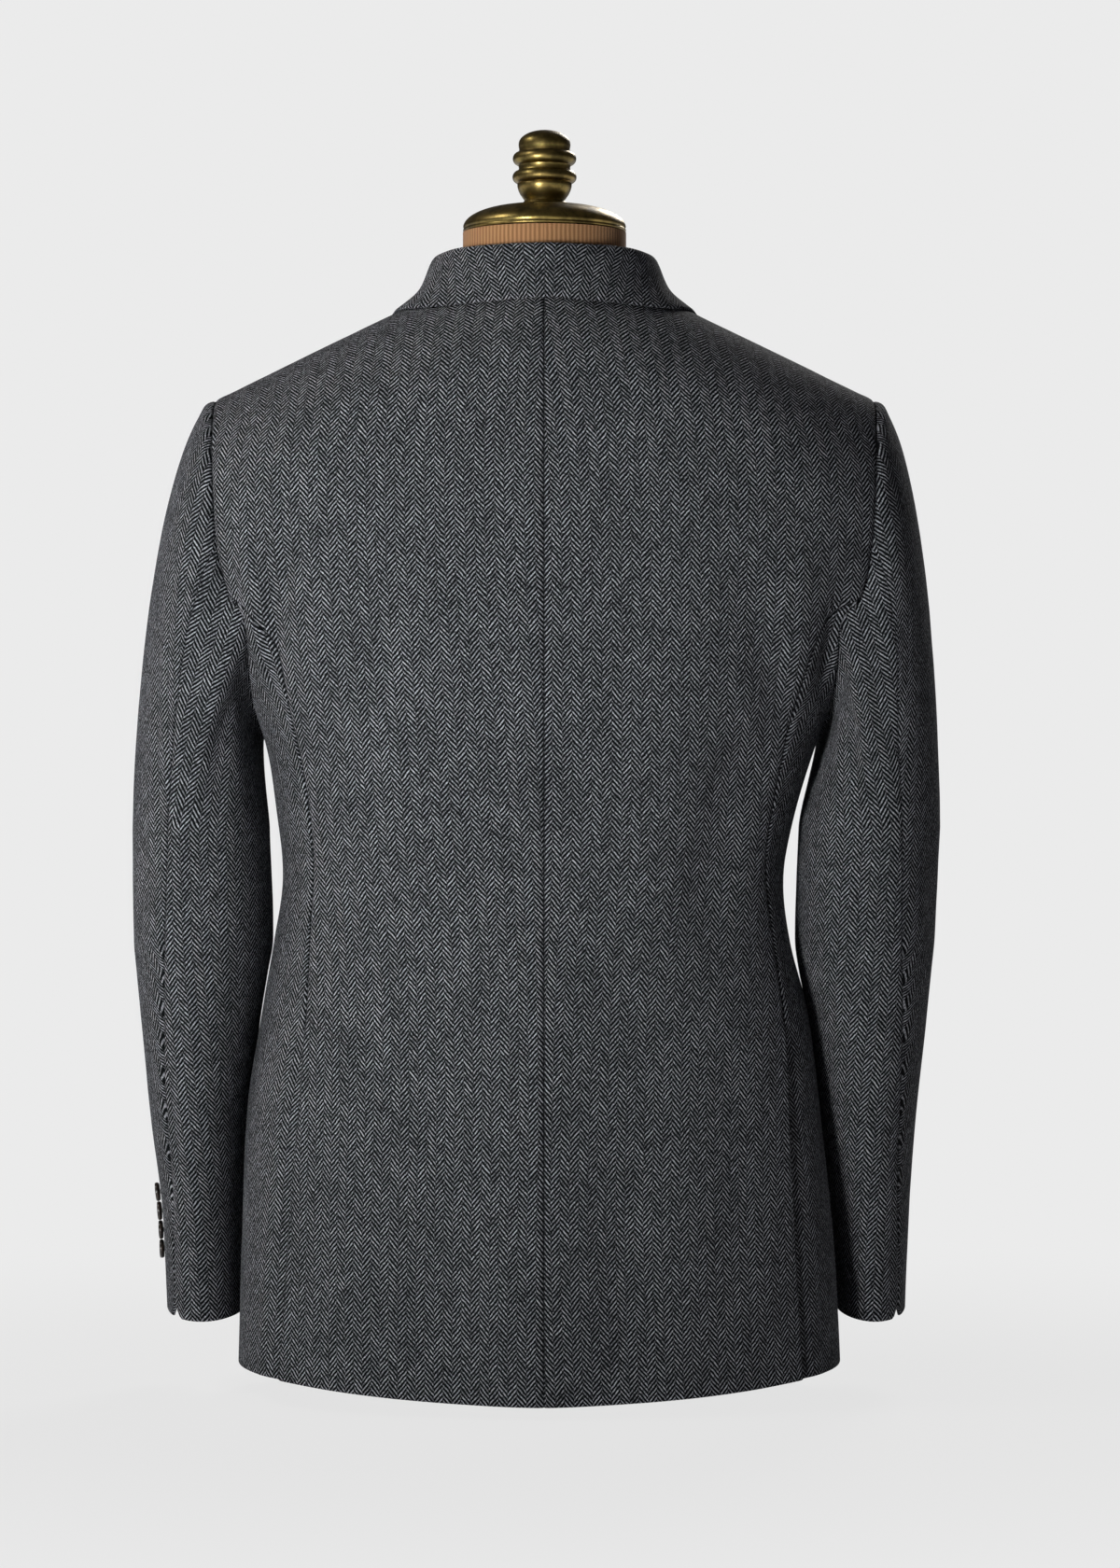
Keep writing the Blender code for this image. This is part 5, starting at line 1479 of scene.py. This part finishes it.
def stitchLine(name, piece, shellSpots, length=None, gap=None, sunk=-0.00006, thread=None):
    # a row of stitches along a line of (point, normal) spots of the shell
    length = length or stitchCut["length"]
    gap = stitchCut["gap"] if gap is None else gap
    tree = clothTree(piece)
    laid = [dropOn(tree, p, n) for p, n in shellSpots]
    line = np.array([tuple(spot - sunk * facing) for spot, facing in laid])
    size = lengthsAlong(line)
    verts, faces = [], []
    start = 0.0
    while start < size[-1]:
        end = min(start + length, size[-1])
        marks = np.linspace(start, end, max(int((end - start) / 0.0012), 2) + 1)
        spots = [Vector([np.interp(m, size, line[:, k]) for k in range(3)]) for m in marks]
        addTube(verts, faces, spots, thread or stitchCut["thread"])
        start = end + gap
    return threadPiece(name, verts, faces)


def stitchButtonhole(name, piece, point, normal, way, length):
    # whipped stitches on both sides of the cut, and round the eyelet at its start
    tree = clothTree(piece)
    way = Vector(way).normalized()
    side = Vector(normal).cross(way).normalized()
    reach, thread = stitchCut["whipReach"], stitchCut["whipThread"]
    verts, faces = [], []

    def whip(a, b):
        spots = []
        for t in (0.0, 0.35, 0.7, 1.0):
            spot, facing = dropOn(tree, a.lerp(b, t), normal)
            spots.append(spot + (thread * 0.9 * math.sin(math.pi * (0.12 + 0.76 * t))) * facing)
        addTube(verts, faces, spots, thread)

    eyelet = stitchCut["eyelets"][length > stitchCut["bigHole"]]
    start = Vector(point)
    for k in range(9):
        angle = math.radians(50 + 260 * k / 8)
        ray = math.cos(angle) * way + math.sin(angle) * side
        whip(start + 0.55 * eyelet * ray, start + (eyelet + reach) * ray)
    count = int((length - 2 * eyelet) / stitchCut["whip"])
    for k in range(count):
        along = start + (eyelet * 1.4 + k * stitchCut["whip"]) * way
        for turn in (1, -1):
            whip(along + 0.00015 * turn * side, along + (reach + 0.0002) * turn * side)
    bar = start + (eyelet * 1.4 + count * stitchCut["whip"]) * way
    for k in range(3):
        whip(bar + 0.0004 * k * way - reach * side, bar + 0.0004 * k * way + reach * side)
    return threadPiece(name, verts, faces)


def pieceNamed(name):
    return next(item for item in panels if item.name == name)


def stitchCoat():
    cut = stitchCut
    for side in (1, -1):
        word = sideWord(side)
        # the slanting rows that hold the vents' tops, their thread thick and dark so that they also stand for
        # the shade of the crease there: real stitches, partly painted shade
        top = readRows(sideBackRows, sideColumn(side), coatCut["ventTop"])
        start, level = top - cut["ventStart"], coatCut["ventTop"]
        spots = [onBody(side, True, start - cut["ventReach"] * t, level - cut["ventDrop"] * t)
                 for t in np.linspace(0, 1, 12)]
        stitchLine(f"vent_stitches_{word}", pieceNamed(f"back_panel_{word}"), spots, thread=cut["ventThread"])
        # the front dart, from below the chest to the pocket: a continuous dark thread sunk along it, painted
        # shade for the dart seam's groove
        x, z, footX, footZ = cut["dart"]
        spots = [onBody(side, False, x + (footX - x) * t, mix(z, footZ, t)) for t in np.linspace(0, 1, 60)]
        stitchLine(f"dart_seam_{word}", pieceNamed(f"front_panel_{word}"), spots, 0.0300, 0.0, 0.00010)
        sleeve = pieceNamed(f"top_sleeve_panel_{word}")
        for k in range(buttonCut["cuffCount"]):
            here, normal, around = cuffSpot(side, k)
            name = f"cuff_buttonhole_{word}_{k + 1}"
            stitchButtonhole(name, sleeve, here - 0.0010 * around, normal, around, cut["cuffHole"])
    front = pieceNamed("front_panel_left")
    for k, z in enumerate(coatCut["buttons"]):
        point, normal = onBody(1, False, 0.003, z)
        start = point + lapOver(1, -0.003, z) * normal
        stitchButtonhole(f"front_buttonhole_{k + 1}", front, start, normal, (1, 0, 0), cut["frontHole"])
    point, normal = onBody(1, False, *cut["lapelHoleAt"])
    lapel = pieceNamed("lapel_cloth_left")
    stitchButtonhole("lapel_buttonhole", lapel, point, normal, cut["lapelHoleWay"], cut["lapelHole"])


formCut = {
    "neckY": 0.012, "neckTop": 0.8180, "neck": 0.0575, "neckFrom": 0.750, "neckFull": 0.784,
    "clear": 0.0006, "around": 120, "spacing": 0.0055,
    "capRadius": 0.0574, "capTop": 0.8380, "finialTop": 0.8905,
    "footY": -0.030, "baseRadius": 0.075, "baseHeight": 0.014, "low": 0.085,
    "hem": 0.012,             # the form's lowest part, where its rings are closest
    "even": 0.097, "chest": 0.660, "shoulder": 0.800, "shoulderSpacing": 0.0025,
}

# z, greatest half width, and the share of the coat's depth that it fills
formRows = np.array((
    (0.085, 0.140, 0.74),
    (0.110, 0.165, 0.84),
    (0.160, 0.180, 0.89),
    (0.230, 0.174, 0.89),
    (0.340, 0.150, 0.87),
    (0.400, 0.153, 0.89),
    (0.500, 0.178, 0.93),
    (0.600, 0.197, 0.93),
    (0.660, 0.206, 0.93),
    (0.820, 0.215, 0.93),
))


def makeJersey():
    # cotton jersey stretched over the form: fine upright ribs of stitches, matt
    material, shader, add, calc, _, tint = newMaterial("Cotton jersey, camel")
    place = add("UVMap", {}, uv_map="weave")
    wave = lambda way, values: add(
        "TexWave", {"Vector": place, **values}, "Fac", wave_type="BANDS", bands_direction=way)
    ribs = wave("X", {"Scale": 98.0, "Distortion": 0.6, "Detail": 1.0})
    loops = wave("Y", {"Scale": 260.0, "Distortion": 0.8})
    cloud = add("TexNoise", {"Vector": place, "Scale": 60.0, "Detail": 3.0}, "Color")
    both = calc("MULTIPLY_ADD", loops, 0.3, ribs)
    setInputs(shader, {
        "Base Color": tint(0.12, tint(ribs, "#996f48", "#c69468"), cloud, blend_type="MULTIPLY"),
        "Normal": add("Bump", {"Height": both, "Strength": 0.4, "Distance": 0.0003}),
        "Roughness": 0.9, "Specular IOR Level": 0.25, "Sheen Weight": 0.15,
    })
    return material


def makeBrass():
    # cast brass, turned on a lathe, aged and waxed: browned in the hollows, brushed round
    material, shader, add, _, remap, tint = newMaterial("Aged brass, turned")
    place = add("TexCoord", {}, "Object")
    rings = add("Mapping", {"Vector": place, "Scale": (18.0, 18.0, 2600.0)})
    brush = add("TexNoise", {"Vector": rings, "Scale": 1.0, "Detail": 3.0}, "Color")
    patina = add("TexNoise", {"Vector": place, "Scale": 75.0, "Detail": 6.0, "Roughness": 0.62})
    stained = remap(patina, 0.36, 0.66, curve="SMOOTHSTEP")
    grooves = brush.node.outputs["Fac"]
    setInputs(shader, {
        "Base Color": tint(0.35, tint(stained, "#5f5230", "#a58f55"), brush, blend_type="MULTIPLY"),
        "Roughness": remap(stained, newLow=0.44, newHigh=0.30),
        "Normal": add("Bump", {"Height": grooves, "Strength": 0.12, "Distance": 0.0002}),
        "Metallic": 1.0,
    })
    return material


def makeWalnut():
    # walnut, turned, stained and oiled: dark open grain
    material, shader, add, _, _, tint = newMaterial("Walnut, stained and oiled")
    stretch = add("Mapping", {"Vector": add("TexCoord", {}, "Object"), "Scale": (1.0, 0.12, 1.0)})
    grain = add("TexNoise", {"Vector": stretch, "Scale": 260.0, "Detail": 5.0, "Distortion": 0.8})
    setInputs(shader, {
        "Base Color": tint(grain, "#2b1c12", "#5a3d28"),
        "Normal": add("Bump", {"Height": grain, "Strength": 0.12, "Distance": 0.0003}),
        "Roughness": 0.42,
    })
    return material


jerseyCamel = makeJersey()
brassAged = makeBrass()
walnutOiled = makeWalnut()


def formRing(z):
    cut, shape = coatCut, formCut
    drop = (cut["cloth"] + shape["clear"]) * math.hypot(1, cut["ridgeSlope"])
    level = max((cut["ridgeTop"] - drop - z) / cut["ridgeSlope"], cut["ridgeSoft"])
    limit = math.sqrt(max(level**2 - cut["ridgeSoft"]**2, 0.0))
    half = max(min(float(readRows(formRows, 1, z)), limit), 1e-6)
    fill = float(readRows(formRows, 2, z))
    angle = 2 * math.pi * np.arange(shape["around"]) / shape["around"]
    x = half * np.abs(np.sin(angle)) ** (2 / cut["squareness"])
    reach = np.zeros_like(x)
    for side in (1, -1):
        for back in (True, False):
            here = ((np.sin(angle) >= 0) == (side > 0)) & ((np.cos(angle) > 0) == back)
            reach[here] = np.abs(shellY(side, back, x[here], z + drop) - middleY(z)) * fill
    across = np.maximum(1 - (x / half) ** 3, 0.0) ** (1 / 3)
    sign = np.where(np.sin(angle) >= 0, 1, -1)
    body = np.stack((sign * x, middleY(z) + np.sign(np.cos(angle)) * reach * across, z + 0 * x), axis=-1)
    neck = shape["neck"]
    column = np.stack((neck * np.sin(angle), shape["neckY"] + neck * np.cos(angle), z + 0 * x), axis=-1)
    return mix(body, column, float(ease((z - shape["neckFrom"]) / (shape["neckFull"] - shape["neckFrom"]))))


def makeTorso():
    shape = formCut
    levels = np.concatenate([
        shape["low"] + shape["hem"] * np.linspace(0, 1, 6)[:-1],
        np.arange(shape["even"], shape["chest"], shape["spacing"]),
        np.arange(shape["chest"], shape["shoulder"], shape["shoulderSpacing"]),
        np.linspace(shape["shoulder"], shape["neckTop"], 6),
    ])
    rings = np.array([formRing(z) for z in levels])
    rows, columns = rings.shape[:2]
    index = np.arange(rows * columns).reshape(rows, columns)
    after = np.roll(index, -1, axis=1)
    faces = np.stack((index[:-1], index[1:], after[1:], after[:-1]), axis=-1).reshape(-1, 4).tolist()
    faces += [index[0].tolist(), index[-1][::-1].tolist()]
    mesh = newMesh("form_cover", rings.reshape(-1, 3).tolist(), faces, jerseyCamel)
    size = np.linalg.norm(np.roll(rings, -1, axis=1) - rings, axis=2)
    around = np.cumsum(size, axis=1) - size
    layer = mesh.uv_layers.new(name="weave")
    uv = []
    for face in mesh.polygons:
        for corner in face.vertices:
            i, j = divmod(corner, columns)
            wrap = j == 0 and any(v % columns == columns - 1 for v in face.vertices) and len(face.vertices) == 4
            u = around[i, -1] + size[i, -1] if wrap else around[i, j]
            uv.extend((u, rings[i, j, 2]))
    layer.data.foreach_set("uv", uv)
    mesh.set_sharp_from_angle(angle=math.radians(60))
    addPiece("form_cover", mesh, ["form_torso"])


def arc(centre, radius, start, end, count):
    turns = [math.radians(mix(start, end, k / count)) for k in range(count + 1)]
    return [(centre[0] + radius * math.cos(turn), centre[1] + radius * math.sin(turn)) for turn in turns]


def turnPiece(name, profile, segments, material, node, y):
    mesh = turnedMesh(name, profile, segments, (material,))
    addPiece(name, mesh, [node], Matrix.Translation((0, y, 0)))


def quarterTurn(count, offset=0.0):
    return [(k + offset) / count * math.pi / 2 for k in range(count)]


def makeFurniture():
    shape = formCut
    rim = shape["neckTop"] + 0.0003
    top, radius = shape["capTop"], shape["capRadius"]
    cap = [(0.030, rim), (radius - 0.0015, rim)] + arc((radius - 0.0014, rim + 0.0014), 0.0014, -90, 60, 6)
    cap += [(radius * math.cos(turn) ** 0.75, mix(rim + 0.0033, top, math.sin(turn)))
            for turn in quarterTurn(22, 0.6)]
    turnPiece("neck_cap_turned", cap + [(0, top)], 128, brassAged, "neck_cap", shape["neckY"])

    # the finial: a waisted foot, a swelling, two beads and a dome
    foot, tip = top + 0.0004, shape["finialTop"]
    up = lambda spots: [(r, foot + z) for r, z in spots]
    bead = up(((0.0150, 0), (0.0154, 0.0006), (0.0150, 0.0014), (0.0141, 0.0022), (0.0144, 0.0030),
               (0.0156, 0.0046), (0.0172, 0.0070), (0.0184, 0.0096), (0.0191, 0.0122),
               (0.0192, 0.0142), (0.0186, 0.0152)))
    bead += arc((0.0180, foot + 0.0190), 0.0046, -78, 84, 12) + up(((0.0180, 0.0252),))
    bead += arc((0.0176, foot + 0.0320), 0.0048, -80, 84, 12)
    bead += up(((0.0178, 0.0386), (0.0181, 0.0400), (0.0183, 0.0418)))
    dome = foot + 0.0425
    bead += [(0.0182 * math.cos(turn), dome + (tip - dome) * math.sin(turn)) for turn in quarterTurn(16)]
    turnPiece("finial_turned", bead + [(0, tip)], 96, brassAged, "finial", shape["neckY"])

    low, high = shape["baseHeight"] + 0.0003, shape["low"] - 0.0003
    column = [(0.024, low), (0.0292, low), (0.0300, low + 0.0010), (0.0300, low + 0.0032)]
    column += [(0.0294, low + 0.0040)]
    column += arc((0.030, low + 0.014), 0.010, -94, -180, 10) + [(0.0186, low + 0.018), (0.0178, high - 0.026)]
    column += arc((0.034, high - 0.022), 0.016, 180, 100, 10)
    column += [(0.0508, high - 0.0052), (0.0520, high - 0.0040), (0.0520, high)]
    turnPiece("foot_turned", column, 96, brassAged, "form_foot", shape["footY"])

    radius, height = shape["baseRadius"], shape["baseHeight"]
    plate = [(radius - 0.0016, 0), (radius - 0.0003, 0.0004), (radius, 0.0016), (radius, height - 0.0056)]
    plate += arc((radius - 0.0050, height - 0.0050), 0.0050, 4, 84, 8)
    plate += [(radius - 0.0070, height), (radius - 0.0082, height - 0.0007), (radius - 0.0094, height)]
    plate += [(0.026, height)]
    turnPiece("base_turned", plate, 128, walnutOiled, "form_base", shape["footY"])


# The coat, panel by panel
panels = []
for side in (1, -1):
    panels += [makeBack(side), makeSide(side), makeFront(side), makeLapel(side)]
    hole = armholes[side]
    panels.append(makeSleeve(side, "top_sleeve", hole["front"], hole["hind"] + 1, True))
    panels.append(makeSleeve(side, "under_sleeve", hole["hind"], hole["front"], False))
    panels.append(makeFlap(side))
panels += [makeCollar(), makeWelt()]
print("coat sewn:", len(panels), "panels")
makeButtons()
stitchCoat()
print("buttons sewn on")
makeTorso()
makeFurniture()
print("form made")


studio = {
    "paper": "#ebebeb",       # the backdrop and floor as the camera sees them
    "world": 0.040, "key": 18.5, "front": 2.95, "far": 44.0,
    "brightSide": (0.38, 0.92, 0.08), "room": 0.075, "patch": 1.0,
    "floorGlow": 0.90,        # how far the floor near the base is kept from going dark
    "lens": 103.9, "camera": (-0.0109, 3.2, 0.43),
}


def makeStage():
    # a pale floor that keeps the coat's shadow, and an even pale surround
    paper = toLinear(studio["paper"])
    material, shader, add, calc, remap, _ = newMaterial("Matt paper, pale")
    setInputs(shader, {"Base Color": paper, "Roughness": 1.0, "Specular IOR Level": 0.0})
    glow = add("Emission", {"Color": paper, "Strength": 1.0})
    seen = add("LightPath", {}).node.outputs
    direct = calc("MAXIMUM", seen["Is Camera Ray"], seen["Is Glossy Ray"])
    direct = calc("MAXIMUM", direct, seen["Is Transmission Ray"])
    # only the floor about the base takes a shadow that shows; further out it is one with the backdrop
    apart = add("VectorMath", {0: add("TexCoord", {}, "Object")}, "Value", operation="LENGTH")
    share = calc("MULTIPLY", direct, remap(apart, 0.3, 1.1, studio["floorGlow"], 1.0, "SMOOTHSTEP"))
    blend = add("MixShader", {0: share, 1: shader.outputs[0], 2: glow})
    setInputs(material.node_tree.nodes["Material Output"], {"Surface": blend})
    corners = [(-9, -9, 0), (9, -9, 0), (9, 9, 0), (-9, 9, 0)]
    mesh = bpy.data.meshes.new("floor")
    mesh.from_pydata(corners, [], [(0, 1, 2, 3)])
    mesh.materials.append(material)
    newObject("floor", mesh)

    world = bpy.data.worlds.new("Studio")
    bpy.context.scene.world = world
    world.use_nodes = True
    tree = world.node_tree
    add, calc, remap, _ = nodeMakers(tree)
    ground = tree.nodes["Background"]
    setInputs(ground, {"Color": toLinear("#f2f4ff"), "Strength": studio["world"]})
    # what brass mirrors: a dim room with one tall bright side
    way = add("TexCoord", {}, "Generated")
    toward = add("VectorMath", {0: way, 1: studio["brightSide"]}, "Value", operation="DOT_PRODUCT")
    patch = remap(toward, 0.84, 0.995, studio["room"], studio["patch"], "SMOOTHSTEP")
    room = add("Background", {"Color": toLinear("#fff8ee"), "Strength": patch})
    seen = add("LightPath", {}).node.outputs
    mirrored = add("MixShader", {0: seen["Is Glossy Ray"], 1: ground.outputs[0], 2: room})
    direct = calc("MAXIMUM", seen["Is Camera Ray"], seen["Is Transmission Ray"])
    blend = add("MixShader", {0: direct, 1: mirrored, 2: add("Background", {"Color": paper, "Strength": 1.0})})
    setInputs(tree.nodes["World Output"], {"Surface": blend})


def makeLamp(name, place, target, size, power, colour, spread=180):
    lamp = bpy.data.lights.new(name, "AREA")
    lamp.shape = "RECTANGLE"
    lamp.size, lamp.size_y = size
    lamp.energy = power
    lamp.spread = math.radians(spread)
    lamp.color = toLinear(colour)[:3]
    item = newObject(name, lamp)
    item.location = place
    item.rotation_euler = (Vector(target) - Vector(place)).to_track_quat("-Z", "Y").to_euler()
    item.visible_camera = False


def makeCamera():
    lens = bpy.data.cameras.new("camera")
    lens.lens = studio["lens"]
    lens.sensor_width = 36.0
    lens.clip_end = 60.0
    item = newObject("camera", lens)
    item.location = studio["camera"]
    item.rotation_euler = (math.radians(90), 0, math.radians(180))
    bpy.context.scene.camera = item


makeStage()
makeLamp("key_lamp", (1.81, 0.48, 2.26), (0, 0, 0.45), (0.9, 0.9), studio["key"], "#fffdfa")
makeLamp("front_lamp", (1.10, 2.25, 0.30), (0.12, 0.10, 0.54), (0.5, 0.5), studio["front"], "#fcfdff", 42)
makeLamp("far_lamp", (-0.95, -2.60, 2.20), (0, 0, 0.45), (0.9, 0.9), studio["far"], "#fffdfa")
makeCamera()
bpy.context.scene.view_settings.view_transform = "Standard"
print("stage and camera set")


# each piece of cloth laid flat: its width and length, and the area cut from them
flatSizes = {
    "back_panel": (0.259, 0.843, 0.165), "side_panel": (0.268, 0.552, 0.113),
    "front_panel": (0.274, 0.826, 0.132), "top_sleeve_panel": (0.306, 0.660, 0.1165),
    "under_sleeve_panel": (0.251, 0.542, 0.083), "lapel_cloth_left": (0.106, 0.353, 0.0258),
    "lapel_cloth_right": (0.107, 0.290, 0.0214), "flap_cloth": (0.128, 0.062, 0.0067),
    "collar_cloth": (0.540, 0.088, 0.0423), "breast_welt_cloth": (0.084, 0.041, 0.0026),
}


def declareSheets():
    for item in panels:
        wide, long, area = next(size for start, size in flatSizes.items() if item.name.startswith(start))


declareSheets()
